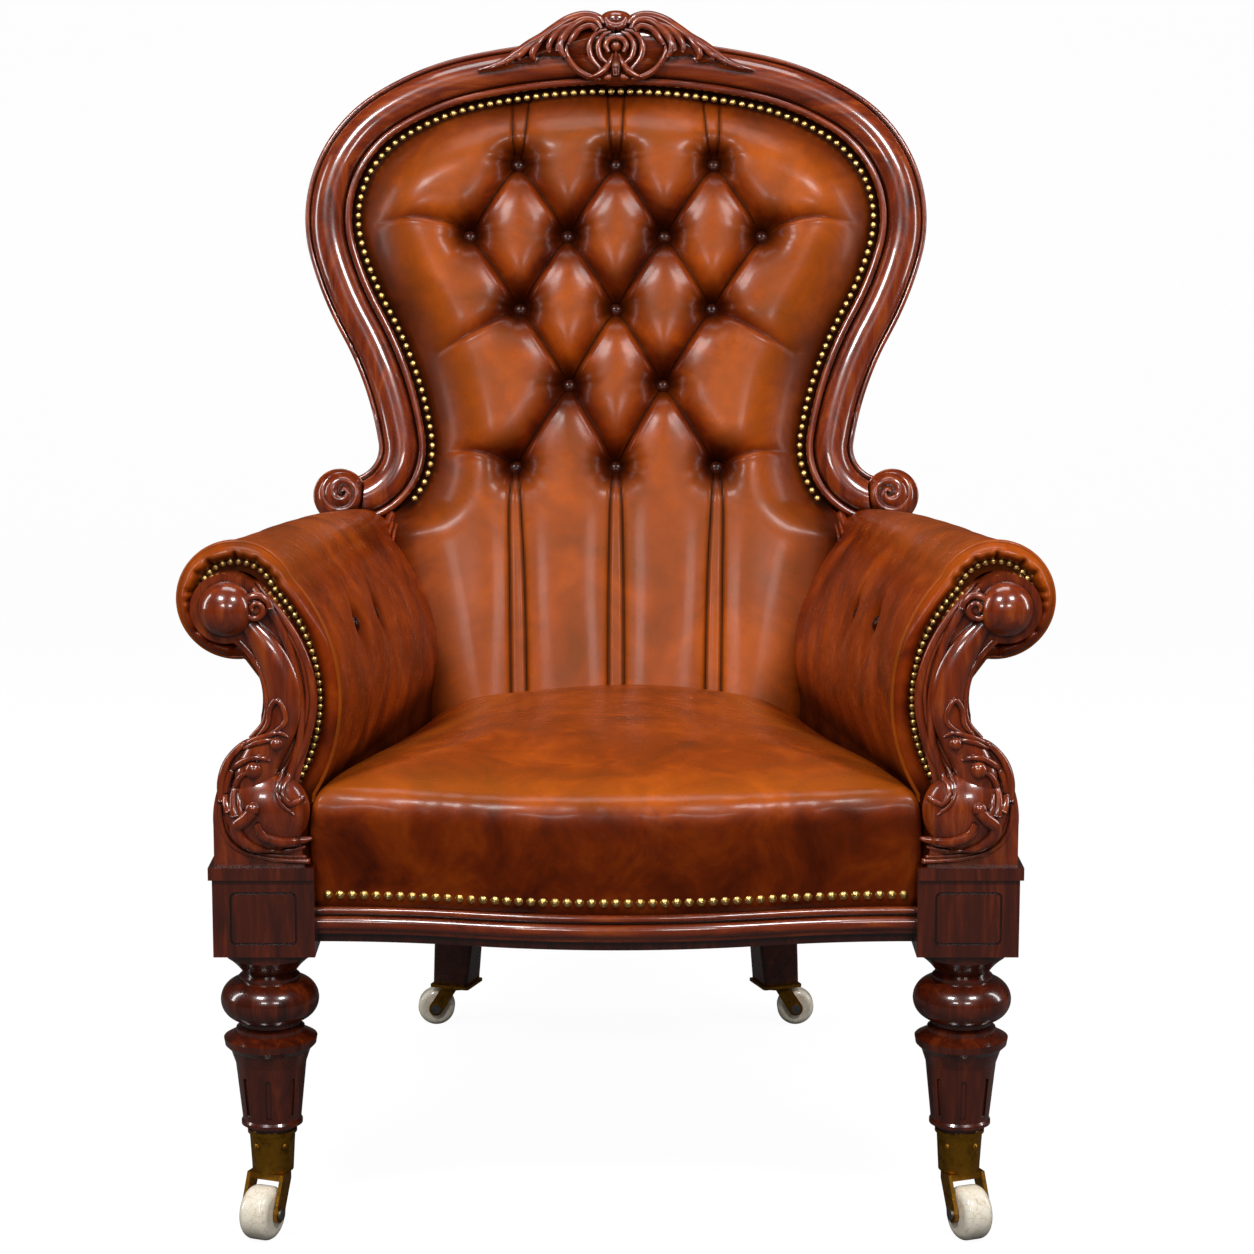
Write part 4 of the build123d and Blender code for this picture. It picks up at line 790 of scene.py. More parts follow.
@dataclass
class ButtonedBack:
    """The deep-buttoned back: a crowned pad with wells, folded pleats and flat banded channels."""

    finishes: Finishes
    plane: RakedPlane = RakedPlane()
    frame: ShowFrame = ShowFrame()
    pitch: float = 1.7
    half_width: float = 272.0
    top: float = 412.0
    border: float = 8.0
    base: float = 37.0
    puff: float = 8.5
    well: float = 22.0
    blend: float = 5.0
    crease: float = 5.0
    lip: float = 1.1
    stitch: float = 2.2
    valley: float = 4.2
    wrinkle: float = 0.55
    unevenness: float = 0.7
    rows: tuple[tuple[float, tuple[float, ...]], ...] = (
        (325.0, (-100.0, 0.0, 100.0)), (251.0, (-149.0, -49.5, 49.5, 149.0)),
        (176.0, (-97.5, 0.0, 97.5)), (98.0, (-47.5, 47.5)), (14.0, (-102.0, 0.0, 102.0)))
    pleat_reach: float = 63.0
    pleat_bend: float = 2.0
    pleat_sag: float = 1.5
    side_folds: tuple[Pairs, ...] = (((149, 251), (172, 263), (205, 268), (243, 263)),
                                     ((97.5, 176), (122, 163), (150, 147), (180, 130)),
                                     ((102, 14), (122, 24), (150, 30), (182, 27)))
    side_fold_end: float = 0.12

    def buttons(self) -> list[tuple[float, float]]:
        """Every button's place in the plane."""
        return [(x, t) for t, places in self.rows for x in places]

    def pleats(self) -> list[tuple[Array, float, float]]:
        """Each fold as its line, and how deep it is at its start and at its end.

        Returns:
            The line, the depth at its start and the depth at its end.
        """
        folds = []
        for (t, places), (below_t, below) in zip(self.rows, self.rows[1:]):
            for x in places:
                for below_x in below:
                    if abs(x - below_x) < self.pleat_reach:
                        bend = math.copysign(self.pleat_bend, below_x - x)
                        middle = ((x + below_x) / 2 + bend, (t + below_t) / 2 - self.pleat_sag)
                        line = smooth_line([(x, t), middle, (below_x, below_t)], 30)
                        folds.append((line, 1.0, 1.0))
        for side in (-1, 1):
            for places in self.side_folds:
                line = smooth_line([(side * x, t) for x, t in places], 40)
                folds.append((line, 1.0, self.side_fold_end))
        return folds

    @staticmethod
    def channel(x: float, lean: float, stations: Sequence, count: int) -> tuple[Array, Array]:
        """The left and the right stitched line of a flat band.

        Args:
            x: where the band leaves its button.
            lean: how far its end stands nearer to the middle.
            stations: half its width, the share of the lean, and the place up the plane.
            count: how many points each line has.
        Returns:
            The two lines.
        """
        drift = 0.0 if x == 0 else math.copysign(lean, -x)
        left, right = ([(x + way * half + drift * share, t) for half, share, t in stations]
                       for way in (-1, 1))
        return smooth_line(left, count), smooth_line(right, count)

    def bands(self) -> list[tuple[Array, Array]]:
        """The flat bands above the upper buttons and below the lower ones.

        Returns:
            The left and the right stitched line of each.
        """
        made = []
        for x in (-100.0, 0.0, 100.0):
            top = self.frame.top - self.frame.half - 6 - abs(x) * 0.09
            made.append(self.channel(x, 2.0, ((2.5, 0, 330), (6, 0.5, 350), (8.5, 1, top)), 40))
        for x in (-102.0, 0.0, 102.0):
            made.append(self.channel(x, 5.0, ((3, 0, 8), (6, 0, -30), (7.5, 0.5, -110),
                                              (8, 1, -250)), 70))
        return made

    def crowned(self, inset: Array, low: Array) -> Array:
        """The pad's height before it is buttoned.

        Args:
            inset: each place's distance inside the pad's edge.
            low: the share of the lower part, where the arms hold the pad's sides.
        Returns:
            The height over the plane.
        """
        rise = 1 - (1 - np.clip((inset - 11.0) / 72.0, 0, 1)) ** 2.5
        side_rise = 0.62 + 0.38 * (1 - (1 - np.clip(inset / 30.0, 0, 1)) ** 2.2)
        return self.border + (self.base - self.border) * (rise * (1 - low) + side_rise * low)

    def folded(self, x: Array, t: Array) -> tuple[Array, Array, Array, Array]:
        """The marks of the pleats.

        Args:
            x, t: places in the plane.
        Returns:
            How full the hide is between the pleats and how deep it is creased, each from 0 to 1,
            then the change of the height and the painted shade.
        """
        reach, crease, lip, shade = (np.zeros(x.shape) for _ in range(4))
        for line, deep_start, deep_end in self.pleats():
            distance, share, side = self.nearest(line, x, t)
            depth = deep_start + (deep_end - deep_start) * share
            reach += np.exp(-(distance + (1 - depth) * 30) / self.blend)
            crease = np.maximum(crease, depth * bell(distance, np.where(side > 0, 3.2, 6.5), 1.3))
            lip = np.maximum(lip, depth * bell(distance - 5.5, 3.2) * (side > 0))
            shade = darkest(shade, depth ** 0.7 * bell(distance, 2.1),
                            0.58 * depth * bell(distance, 8.0, 1.4))
        reach = np.clip(-self.blend * np.log(np.maximum(reach, TINY)), 0, 200)
        full = 1 - bell(reach, 17.0, 1.25)
        return full, crease, self.lip * lip - self.crease * crease, shade

    def banded(self, x: Array, t: Array) -> tuple[Array, Array]:
        """The marks of the flat bands.

        Args:
            x, t: places in the plane.
        Returns:
            The change of the height and the painted shade in the stitched grooves.
        """
        stitches, valley = np.zeros(x.shape), np.zeros(x.shape)
        for left, right in self.bands():
            for line in (left, right):
                stitches = np.maximum(stitches, bell(self.nearest(line, x, t)[0], 1.9))
            distance, share, _ = self.nearest((left + right) / 2, x, t)
            valley = np.maximum(valley, bell(distance, 19.0) * ease(share / 0.06))
        return -self.stitch * stitches - self.valley * valley, 0.98 * stitches

    def buttoned(self, x: Array, t: Array) -> tuple[Array, Array, Array]:
        """The wells of the buttons, with the wrinkles that run out of them.

        Args:
            x, t: places in the plane.
        Returns:
            How deep the well is, from 0 to 1, then the change of the height and the painted shade.
        """
        wells, height, shade = (np.zeros(x.shape) for _ in range(3))
        for number, (button_x, button_t) in enumerate(self.buttons()):
            dx, dt = x - button_x, t - button_t
            away, turn = np.hypot(dx, dt), np.arctan2(dt, dx)
            wells = np.maximum(wells, bell(away, 14.0, 1.6))
            ripple = (np.cos(9 * turn + number * 1.7) + 0.7 * np.cos(13 * turn + number * 2.9)
                      + 0.5 * np.cos(17 * turn + number))
            ring = fade(away, 7.0, 13.0) * bell(np.clip(away - 12, 0, 99), 10.0, 1.0)
            height += self.wrinkle * ripple * ring
            shade = darkest(shade, 0.99 * bell(away, 18.0, 2.4), 0.90 * bell(away, 28.0, 1.9))
        return wells, height - self.well * wells, shade

    def surface(self, x: Array, t: Array, inset: Array) -> tuple[Array, Array, Array]:
        """The pad's height over the plane, with its painted shade and its wear and painted sheen.

        Args:
            x, t: places in the plane.
            inset: each place's distance inside the pad's edge.
        Returns:
            The height, the painted shade and the wear and painted sheen, each from 0 to 1.
        """
        low = fade(t, -20.0, -60.0)
        full, crease, pleat_height, pleat_shade = self.folded(x, t)
        band_height, band_shade = self.banded(x, t)
        wells, well_height, well_shade = self.buttoned(x, t)
        height = self.crowned(inset, low) + self.puff * full * ease(inset / 70.0)
        height += pleat_height + band_height + well_height
        height += self.unevenness * np.sin(x / 31 + 1.2) * np.sin(t / 43 + 0.6) * ease(inset / 50)
        # Painted shade: darker towards the nails round the pad's edge, and low down where the arms
        # hold it.
        edge = bell(np.clip(inset - 9, 0, 99), 9.0, 1.2) * (1 - low)
        shade = darkest(pleat_shade, band_shade, well_shade, 0.98 * edge,
                        0.76 * bell(inset, 36.0, 1.7), 0.55 * low * bell(inset, 7.0))
        # Wear and painted sheen: the hide is lighter on the full tops of the puffs.
        wear_and_sheen = np.clip(full * 0.8 - crease - wells, 0, 1) * ease(inset / 60.0)
        return height, np.clip(shade, 0, 1), wear_and_sheen

    @staticmethod
    def nearest(line: Array, x: Array, t: Array,
                margin: float = 70.0) -> tuple[Array, Array, Array]:
        """Finds each place's nearest point on a line.

        Args:
            line: the line's places in the plane.
            x, t: the places, of which those beyond the margin are left out.
            margin: how far round the line to look.
        Returns:
            The distance, the share of the line's length, and 1 on its lower side or -1 above.
        """
        low, high = line.min(0) - margin, line.max(0) + margin
        close = (x > low[0]) & (x < high[0]) & (t > low[1]) & (t < high[1])
        near_x, near_t = x[close], t[close]
        best = np.full(near_x.shape, FAR)
        best_share, best_side = np.zeros(near_x.shape), np.zeros(near_x.shape)
        for number, (start, end) in enumerate(zip(line, line[1:])):
            run = end - start
            dx, dt = near_x - start[0], near_t - start[1]
            part = np.clip((dx * run[0] + dt * run[1]) / (run @ run + TINY), 0, 1)
            dx, dt = dx - part * run[0], dt - part * run[1]
            away = np.hypot(dx, dt)
            closer = away < best
            best = np.where(closer, away, best)
            best_share = np.where(closer, (number + part) / (len(line) - 1), best_share)
            best_side = np.where(closer, np.where(dt < 0, 1.0, -1.0), best_side)
        distance = np.full(x.shape, FAR)
        share, side = np.zeros(x.shape), np.zeros(x.shape)
        distance[close], share[close], side[close] = best, best_share, best_side
        return distance, share, side

    def sheet(self) -> tuple[Array, Array, Array, Array]:
        """Lays a grid over the pad and pulls its rim to the pad's edge.

        Returns:
            The places' x and t, their distance inside the edge, and the quads between them.
        """
        side = self.frame.pad_side(0.0)
        ring = np.vstack([side, side[::-1] * [-1, 1]])
        across = np.arange(-self.half_width, self.half_width + 0.1, self.pitch)
        up = np.arange(self.frame.pad_bottom, self.top, self.pitch)
        x, t = [layer.ravel() for layer in np.meshgrid(across, up)]
        inside = np.zeros(x.shape, bool)
        for (start_x, start_t), (end_x, end_t) in zip(ring, np.roll(ring, -1, 0)):
            if start_t != end_t:
                slope = (end_x - start_x) * (t - start_t) / (end_t - start_t)
                inside ^= ((start_t > t) != (end_t > t)) & (x < slope + start_x)
        numbers = np.arange(len(x)).reshape(len(up), len(across))
        quads = np.stack([numbers[:-1, :-1], numbers[:-1, 1:], numbers[1:, 1:], numbers[1:, :-1]],
                         -1).reshape(-1, 4)
        quads = quads[inside[quads].any(1)]
        used = np.unique(quads)
        tree = KDTree(len(ring))
        for number, (edge_x, edge_t) in enumerate(ring):
            tree.insert((edge_x, edge_t, 0), number)
        tree.balance()
        inset = np.zeros(x.shape)
        for number in used:
            spot, _, away = tree.find((x[number], t[number], 0))
            if inside[number]:
                inset[number] = away
            else:
                x[number], t[number] = spot[0], spot[1]
        renumber = np.full(x.shape, -1)
        renumber[used] = np.arange(len(used))
        return x[used], t[used], inset[used], renumber[quads]

    def build(self) -> bpy.types.Object:
        """Builds the pad, dresses it, and hides the imported pad in its place.

        Returns:
            The piece.
        """
        x, t, inset, quads = self.sheet()
        height, shade, wear_and_sheen = self.surface(x, t, inset)
        piece = make_piece("buttoned_back", self.plane.place(x, t, height), quads.tolist(),
                           self.finishes.hide, {"shade": shade, "wear_and_sheen": wear_and_sheen})
        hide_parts("back_pad")
        return piece


@dataclass
class BackNails:
    """The close-set domed nails that hold the back pad's edge down all round the frame."""

    finishes: Finishes
    plane: RakedPlane = RakedPlane()
    frame: ShowFrame = ShowFrame()
    inset: float = 6.0
    flange: float = 8.0
    radius: float = 3.5
    rise: float = 2.6
    pitch: float = 9.6

    def build(self) -> bpy.types.Object:
        """Builds both sides' nails as one piece.

        Returns:
            The piece.
        """
        line, _ = self.frame.inner_line(self.inset)
        count = int(length_of(line) / self.pitch)
        pile = MeshPile()
        for x, t in along(line, 2 * count + 1)[1::2]:
            foot = self.plane.place(x, t, self.flange)
            pile.add_both(*dome(foot, self.plane.normal(), self.radius, self.rise, rim=6, sides=16))
        piece = pile.make("back_nail_rows", self.finishes.nail_brass)
        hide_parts("back_nails")
        return piece


# The seat

@dataclass
class SpringSeat:
    """The sprung seat: a bowed front face over the rail, a soft upper edge and a crowned top."""

    finishes: Finishes
    plane: RakedPlane = RakedPlane()
    bow: float = 30.0
    bow_front: float = -382.0
    bow_half: float = 260.0
    setback: float = 8.0
    half_front: float = 261.7
    half_rear: float = 177.7
    rear_y: float = 178.0
    front_y: float = -334.0
    centre_y: float = -90.0
    crown: float = 430.0
    drop_middle: float = 7.0
    drop_side: float = 19.0
    back_reach: float = 38.0
    sides: int = 420
    profile: Pairs = ((2.0, 303.2), (0.6, 308.0), (-0.6, 318.0), (-2.4, 334.0), (-4.0, 350.0),
                      (-4.6, 366.0), (-3.8, 380.0), (-1.8, 390.0), (1.5, 396.5), (5.0, 400.4),
                      (9.0, 403.2), (14.0, 405.6))

    def front_line(self) -> Array:
        """The serpentine front in plan, from the middle to the side.

        Returns:
            The line's places, across and deep.
        """
        radius = ((self.bow_half / 2) ** 2 + (self.bow / 2) ** 2) / self.bow
        turn = math.degrees(2 * math.atan2(self.bow / 2, self.bow_half / 2))
        arcs = ArcLine(((radius + self.setback, -turn), (radius - self.setback, turn)))
        line, _ = arcs.points((0.0, 0.0), 0.0)
        plan = np.stack([line[:, 0], self.bow_front + self.setback - line[:, 1]], 1)
        return plan[plan[:, 0] < self.half_front]

    def outline(self) -> Array:
        """The seat's whole plan, round from the middle of the front.

        Returns:
            The closed line's places, across and deep.
        """
        front = self.front_line()
        side = np.array([[self.half_front, front[-1, 1] + 4], [self.half_front, self.front_y],
                         [self.half_rear, self.rear_y], [0.0, self.rear_y]])
        right = np.vstack([front, side])
        left = right[::-1] * np.array([-1.0, 1.0])
        return along(np.vstack([right, left[1:]]), self.sides + 1)[:-1]

    def rings(self, outline: Array, front: Array) -> tuple[Array, Array, Array]:
        """The rings of the cushion, up its side and over its top to the middle.

        Args:
            outline: the seat's plan.
            front: the share of the front face, from 0 to 1, for each place of the plan.
        Returns:
            x, y and z, one row for each ring.
        """
        to_centre = np.array([0.0, self.centre_y]) - outline
        length = np.linalg.norm(to_centre, axis=1)
        inward = to_centre / length[:, None]
        half = np.interp(outline[:, 1], [self.front_y, self.rear_y],
                         [self.half_front, self.half_rear])
        drop = self.drop_middle + self.drop_side * (outline[:, 0] / half) ** 2
        drop = fade(outline[:, 1], -330.0, 150.0) * drop
        plan, heights = [], []
        for inset, z in smooth_line(self.profile, 46):
            plan.append(outline + inward * inset * np.where(inset < 0, front, 1.0)[:, None])
            heights.append(z - drop * ease((z - 350) / 45))
        start, edge = self.profile[-1]
        for share in np.linspace(0, 1, 90)[1:-1]:
            plan.append(outline + inward * (start + (length - start) * share)[:, None])
            heights.append(edge - drop + (self.crown - edge + drop) * (1 - (1 - share) ** 2.1))
        rings = np.array(plan)
        return rings[..., 0], rings[..., 1], np.array(heights)

    def build(self) -> bpy.types.Object:
        """Builds the cushion, dresses it, and hides the imported seat pad in its place.

        Returns:
            The piece.
        """
        outline = self.outline()
        front = fade(outline[:, 1], -250.0, -350.0)
        x, y, z = self.rings(outline, front)
        dimple = 2.0 * np.exp(-((y + 60) / 90) ** 2 - (x / 120) ** 2)
        z = z + ease((z - 396) / 14) * (1.2 * np.sin(x / 47 + 0.4) * np.sin(y / 61) - dimple)
        pucker = bell(z - 398, 9) * front[None, :]
        y = y + 0.5 * pucker * np.sin(x / 5.5 + 2 * np.sin(x / 23))
        lean = math.radians(self.plane.rake)
        reach = (z - self.plane.origin_z) * math.sin(lean) - self.back_reach
        y = np.minimum(y, self.plane.origin_y + reach / math.cos(lean))
        points = np.stack([x, y, z], -1).reshape(-1, 3)
        points = np.vstack([points, [[0.0, self.centre_y, float(z[-1].mean())]]])
        faces = grid_faces(len(x), self.sides, closed=True) + closing_fan(len(x), self.sides)
        x, y, z = points.T
        # Painted shade: darker low on the front face by the rail, over the front face, and towards
        # the front corners.
        shade = darkest(0.70 * bell(np.clip(z - 303, 0, 99), 13, 1.4),
                        0.42 * fade(z, 398.0, 376.0) * (y < -250),
                        0.25 * fade(np.abs(x), 190, 262) * (y < -300))
        # Wear and painted sheen: lighter along the front's rolled upper edge and over the top.
        wear_and_sheen = 0.8 * bell(z - 403, 9) + 0.35 * (z > 405)
        piece = make_piece("sprung_seat", points, faces, self.finishes.hide,
                           {"shade": np.clip(shade, 0, 1), "wear_and_sheen": np.clip(wear_and_sheen, 0, 1)})
        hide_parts("seat_pad")
        return piece


# The arms

@dataclass
class RolledArm:
    """A scrolled arm pad: a belly beside the sitter, a roll over the top, pleats at its front."""

    finishes: Finishes
    front_y: float = -334.0
    rear_y: float = 226.0
    roll_front: tuple[float, float, float] = (325.0, 571.0, 50.0)
    roll_rear: tuple[float, float, float] = (256.0, 520.0, 36.0)
    inner: tuple[float, float] = (262.0, 170.0)
    belly: tuple[float, float] = (238.0, 184.0)
    belly_height: float = 488.0
    neck_front: tuple[float, float] = (298.0, 494.0)
    neck_rear: tuple[float, float] = (230.0, 470.0)
    foot: tuple[float, float] = (313.0, 178.0)
    seat_height: float = 400.0
    rail_top: float = 338.0
    start_angle: float = 157.0
    end_angle: float = -98.0
    buttons: Pairs = ((0.26, 526.0), (0.44, 518.0))
    dent: float = 8.0
    dent_width: float = 11.0
    crease: float = 1.1
    puff: float = 13.0
    crown: float = 10.0
    rear_rise: float = 17.0
    gathers: int = 9
    gather_depth: float = 9.0
    border: float = 25.0
    nail_inset: float = 17.0
    nail_pitch: float = 6.9
    nail_foot: float = 402.0
    nail_end_angle: float = -5.0
    nail_radius: float = 3.0
    nail_rise: float = 2.2
    welt_foot: float = 392.0
    welt_radius: float = 2.1
    inner_share: float = 0.52
    welted_share: float = 0.9
    rear_shade: float = 0.35
    count: int = 210
    rows: int = 170

    def section(self, roll: tuple[float, float, float], inner: float, belly: float,
                neck: tuple[float, float], foot: float) -> Array:
        """The closed outline of the arm across the chair, from the inner foot over the roll.

        Args:
            roll: the middle of the roll, across and up, and its radius.
            inner, belly: where the inner face stands at the seat and at its fullest.
            neck: the place under the roll on the outside.
            foot: where the outside stands on the rail.
        Returns:
            The outline's places, across and up.
        """
        x, z, radius = roll
        angles = np.radians(np.linspace(self.start_angle, self.end_angle, 90))
        over = np.stack([x + radius * np.cos(angles), z + radius * np.sin(angles)], 1)
        centre, bend = self.circle((inner, self.seat_height), (belly, self.belly_height),
                                   tuple(over[0]))
        heights = np.linspace(self.seat_height, over[0, 1], 60)
        climb = np.stack([centre[0] - np.sqrt(bend ** 2 - (heights - centre[1]) ** 2), heights], 1)
        foot_line = np.array([(inner, self.rail_top), (inner, self.seat_height - 20)])
        down = np.array([neck, (foot, self.rail_top)])
        return along(np.vstack([foot_line, climb, over[1:], down]), self.count)

    @staticmethod
    def circle(a: tuple, b: tuple, c: tuple) -> tuple[Array, float]:
        """The circle through three places.

        Args:
            a, b, c: the places, across and up.
        Returns:
            Its centre and its radius.
        """
        rows = np.array([[b[0] - a[0], b[1] - a[1]], [c[0] - a[0], c[1] - a[1]]])
        right = 0.5 * np.array([b[0] ** 2 - a[0] ** 2 + b[1] ** 2 - a[1] ** 2,
                                c[0] ** 2 - a[0] ** 2 + c[1] ** 2 - a[1] ** 2])
        centre = np.linalg.solve(rows, right)
        return centre, float(np.hypot(*(np.array(a) - centre)))

    def depth_at(self, share: float | Array) -> float | Array:
        """How far back a share of the arm's length reaches."""
        return self.front_y + (self.rear_y - self.front_y) * share

    def front_edge(self) -> tuple[Array, Array]:
        """The outline at the arm's front, and the direction to its inside at each place.

        Returns:
            The outline's places, and the directions.
        """
        front = self.section(self.roll_front, self.inner[0], self.belly[0], self.neck_front,
                             self.foot[0])
        heading = np.gradient(front, axis=0)
        inward = np.stack([heading[:, 1], -heading[:, 0]], 1)
        return front, inward / np.linalg.norm(inward, axis=1)[:, None]

    def turn_at(self, front: Array) -> Array:
        """The angle of each place of the front about the middle of the roll."""
        return np.arctan2(front[:, 1] - self.roll_front[1], front[:, 0] - self.roll_front[0])

    def face_at(self, share: float, height: float) -> tuple[Array, Array]:
        """Finds a button's place on the inner face.

        Args:
            share: the share of the arm's length, from the front.
            height: the height over the floor.
        Returns:
            The place, and the direction that the face looks there.
        """
        inner, belly = (pair[0] + (pair[1] - pair[0]) * share for pair in (self.inner, self.belly))
        x, z, radius = (a + (b - a) * share for a, b in zip(self.roll_front, self.roll_rear))
        start = math.radians(self.start_angle)
        top = (x + radius * math.cos(start), z + radius * math.sin(start))
        centre, bend = self.circle((inner, self.seat_height), (belly, self.belly_height), top)
        climb = math.asin((height - centre[1]) / bend)
        turn = math.atan2(self.belly[0] - self.belly[1], self.rear_y - self.front_y)
        out = np.array([-math.cos(turn) * math.cos(climb), -math.sin(turn) * math.cos(climb),
                        math.sin(climb)])
        return np.array([centre[0] - bend * math.cos(climb), self.depth_at(share), height]), out

    def dented(self, x: Array, y: Array, z: Array) -> tuple[Array, Array]:
        """Sinks the buttons into the inner face and creases the hide below and above them.

        Args:
            x, y, z: the arm's places.
        Returns:
            x with the dents, and the painted shade in the dents and creases.
        """
        x, shade = x.copy(), np.zeros(x.shape)
        inner_side = np.arange(self.count) < self.count * self.inner_share
        skip = np.where(inner_side, 1.0, 60.0)[None, :]
        for share, height in self.buttons:
            dy, dz = y - self.depth_at(share), z - height
            away = np.hypot(dy, dz) * skip
            x += self.dent * bell(away, self.dent_width, 1.6)
            spread = np.clip(-dz, 0, 99) * 0.16
            reach = fade(np.abs(dz), 52.0, 8.0)
            for lean in (-1.0, 1.0):
                fold = np.abs(dy - lean * spread) * skip
                x += self.crease * bell(fold, 3.2) * reach
                shade = np.maximum(shade, 0.42 * bell(fold, 2.2) * reach)
            shade = darkest(shade, 0.95 * bell(away, 10.5, 2.4), 0.6 * bell(away, 19.0))
        x += 0.6 * np.sin(y / 23 + z / 31) + 0.45 * np.sin(y / 11 - z / 17)
        return x, shade

    def gathered(self, front: Array, inward: Array) -> Array:
        """The rings of the arm's front, from the nails out to the edge, pleated over the roll.

        Args:
            front: the outline at the front.
            inward: the direction to its inside.
        Returns:
            x, y, z and the painted shade in the gathers and by the edge, each with one row for each
            ring.
        """
        turn = self.turn_at(front)
        on_roll = np.maximum(fade(front[:, 1], 528.0, 572.0), (front[:, 0] > 330.0) * 1.0)
        wave = np.abs(np.sin(turn * self.gathers + 1.1 * np.sin(turn * 3.1)
                             + 0.5 * np.sin(turn * 7.3)))
        rings = []
        for inset in np.r_[np.linspace(self.border, self.nail_inset - 2, 6),
                           np.linspace(self.nail_inset - 3, 0, 26, endpoint=False)]:
            share = min(1.0, inset / (self.nail_inset - 2))
            bulge = math.sin(math.pi * min(share, 0.999)) ** 0.7 * (0.45 + 0.55 * on_roll)
            # Painted shade in the gathers over the roll.
            dark = (1 - wave) ** 3.0 * on_roll * ease(1.9 * share - 0.35)
            y = self.front_y - self.puff * bulge
            y += np.minimum(self.gather_depth * dark, self.puff * bulge)
            ring = front + inward * inset
            rings.append((ring[:, 0], y, ring[:, 1], np.maximum(0.8 * share ** 5, 0.92 * dark)))
        return np.array(rings).swapaxes(0, 1)

    def cover(self, front: Array, inward: Array) -> tuple[Array, Faces, Array, Array]:
        """The right arm's leather.

        Args:
            front: the outline at the front.
            inward: the direction to its inside.
        Returns:
            The vertices, the faces, the painted shade, and the wear and painted sheen.
        """
        rear = self.section(self.roll_rear, self.inner[1], self.belly[1], self.neck_rear,
                            self.foot[1])
        shares = np.linspace(0, 1, self.rows)
        body = front[None] + (rear - front)[None] * shares[:, None, None]
        y = np.repeat(self.depth_at(shares)[:, None], self.count, 1)
        lift = self.crown * np.sin(math.pi * shares ** 1.2) + self.rear_rise * shares ** 2
        z = body[..., 1] + lift[:, None] * fade(body[..., 1], 500.0, 560.0)
        x, shade = self.dented(body[..., 0], y, z)
        rings = self.gathered(front, inward)
        x, y, z, shade = (np.vstack(pair) for pair in zip(rings, (x, y, z, shade)))
        low_inside = np.arange(self.count) < self.count * 0.4
        # Painted shade low on the inner face, down by the seat.
        shade = darkest(shade, 0.8 * fade(z, 428.0, 400.0) * low_inside[None, :])
        # Wear and painted sheen: lighter along the top of the roll.
        wear_and_sheen = 0.6 * bell(z - 604, 24)
        points = np.stack([x, y, z], -1).reshape(-1, 3)
        faces = flipped(grid_faces(len(x), self.count, closed=True))
        faces.append(tuple(range(len(points), len(points) + self.count)))
        return (np.vstack([points, points[-self.count:]]), faces,
                np.append(shade, np.full(self.count, self.rear_shade)),
                np.append(wear_and_sheen, np.zeros(self.count)))

    def build(self, side: int) -> bpy.types.Object:
        """Builds one arm, with the welt round its front.

        Args:
            side: 1 for the right arm and -1 for the left.
        Returns:
            The arm's piece.
        """
        front, inward = self.front_edge()
        points, faces, shade, wear_and_sheen = self.cover(front, inward)
        welted = np.arange(self.count) < self.count * self.welted_share
        line = np.insert(front, 1, self.front_y - 0.6, axis=1)
        line = line[(front[:, 1] > self.welt_foot) & welted]
        welt, welt_faces = rounded_sweep(line, np.full(len(line), self.welt_radius), FORWARD,
                                         sides=8)
        name = "right" if side > 0 else "left"
        if side < 0:
            points, faces = mirrored(points), flipped(faces)
            welt, welt_faces = mirrored(welt), flipped(welt_faces)
        piece = make_piece(f"rolled_arm_{name}", points, faces, self.finishes.hide,
                           {"shade": np.clip(shade, 0, 1), "wear_and_sheen": wear_and_sheen})
        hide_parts(f"arm_pad_{name}")
        # The welt gets a little painted shade and much wear and painted sheen.
        cord = make_piece(f"arm_welt_{name}", welt, welt_faces, self.finishes.hide,
                          {"shade": np.full(len(welt), 0.12), "wear_and_sheen": np.full(len(welt), 0.7)})
        return piece

    def nail_line(self) -> Array:
        """The nails of the right arm's front, evenly spaced beside the wood.

        Returns:
            The nails' places, across and up.
        """
        front, inward = self.front_edge()
        beside = front[:, 0] < self.roll_front[0]
        over = np.degrees(self.turn_at(front)) > self.nail_end_angle
        welted = np.arange(self.count) < self.count * self.welted_share
        keep = (front[:, 1] > self.nail_foot) & welted & (beside | over)
        run = (front + inward * self.nail_inset)[keep]
        return along(run, int(length_of(run) / self.nail_pitch) + 1)

    def nails(self) -> bpy.types.Object:
        """Builds the domed nails of both arm fronts as one piece.

        Returns:
            The piece.
        """
        pile = MeshPile()
        for x, z in self.nail_line():
            foot = np.array([x, self.front_y - 0.2, z])
            pile.add_both(*dome(foot, FORWARD, self.nail_radius, self.nail_rise, rim=6,
                                sides=16))
        piece = pile.make("arm_nail_rows", self.finishes.nail_brass)
        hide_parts("arm_nails")
        return piece


@dataclass
class LeatherButtons:
    """The leather-covered buttons, sunk in the back and in the inner faces of the arms."""

    finishes: Finishes
    back: ButtonedBack
    arm: RolledArm
    radius: float = 7.4
    rise: float = 5.4
    stand: float = 1.5
    sag: float = 1.5
    arm_sink: float = 3.5

    def build(self) -> bpy.types.Object:
        """Builds every button as one piece.

        Returns:
            The piece.
        """
        pile = MeshPile()
        plane = self.back.plane
        floor = self.back.base - self.back.well + self.stand
        for x, t in self.back.buttons():
            foot = plane.place(x, t - self.sag, floor)
            pile.add(*dome(foot, plane.normal(), self.radius, self.rise))
        for share, height in self.arm.buttons:
            place, out = self.arm.face_at(share, height)
            foot = place - out * self.arm_sink
            pile.add_both(*dome(foot, out, self.radius, self.rise))
        piece = pile.make("leather_button_set", self.finishes.button_hide)
        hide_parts("leather_buttons")
        return piece


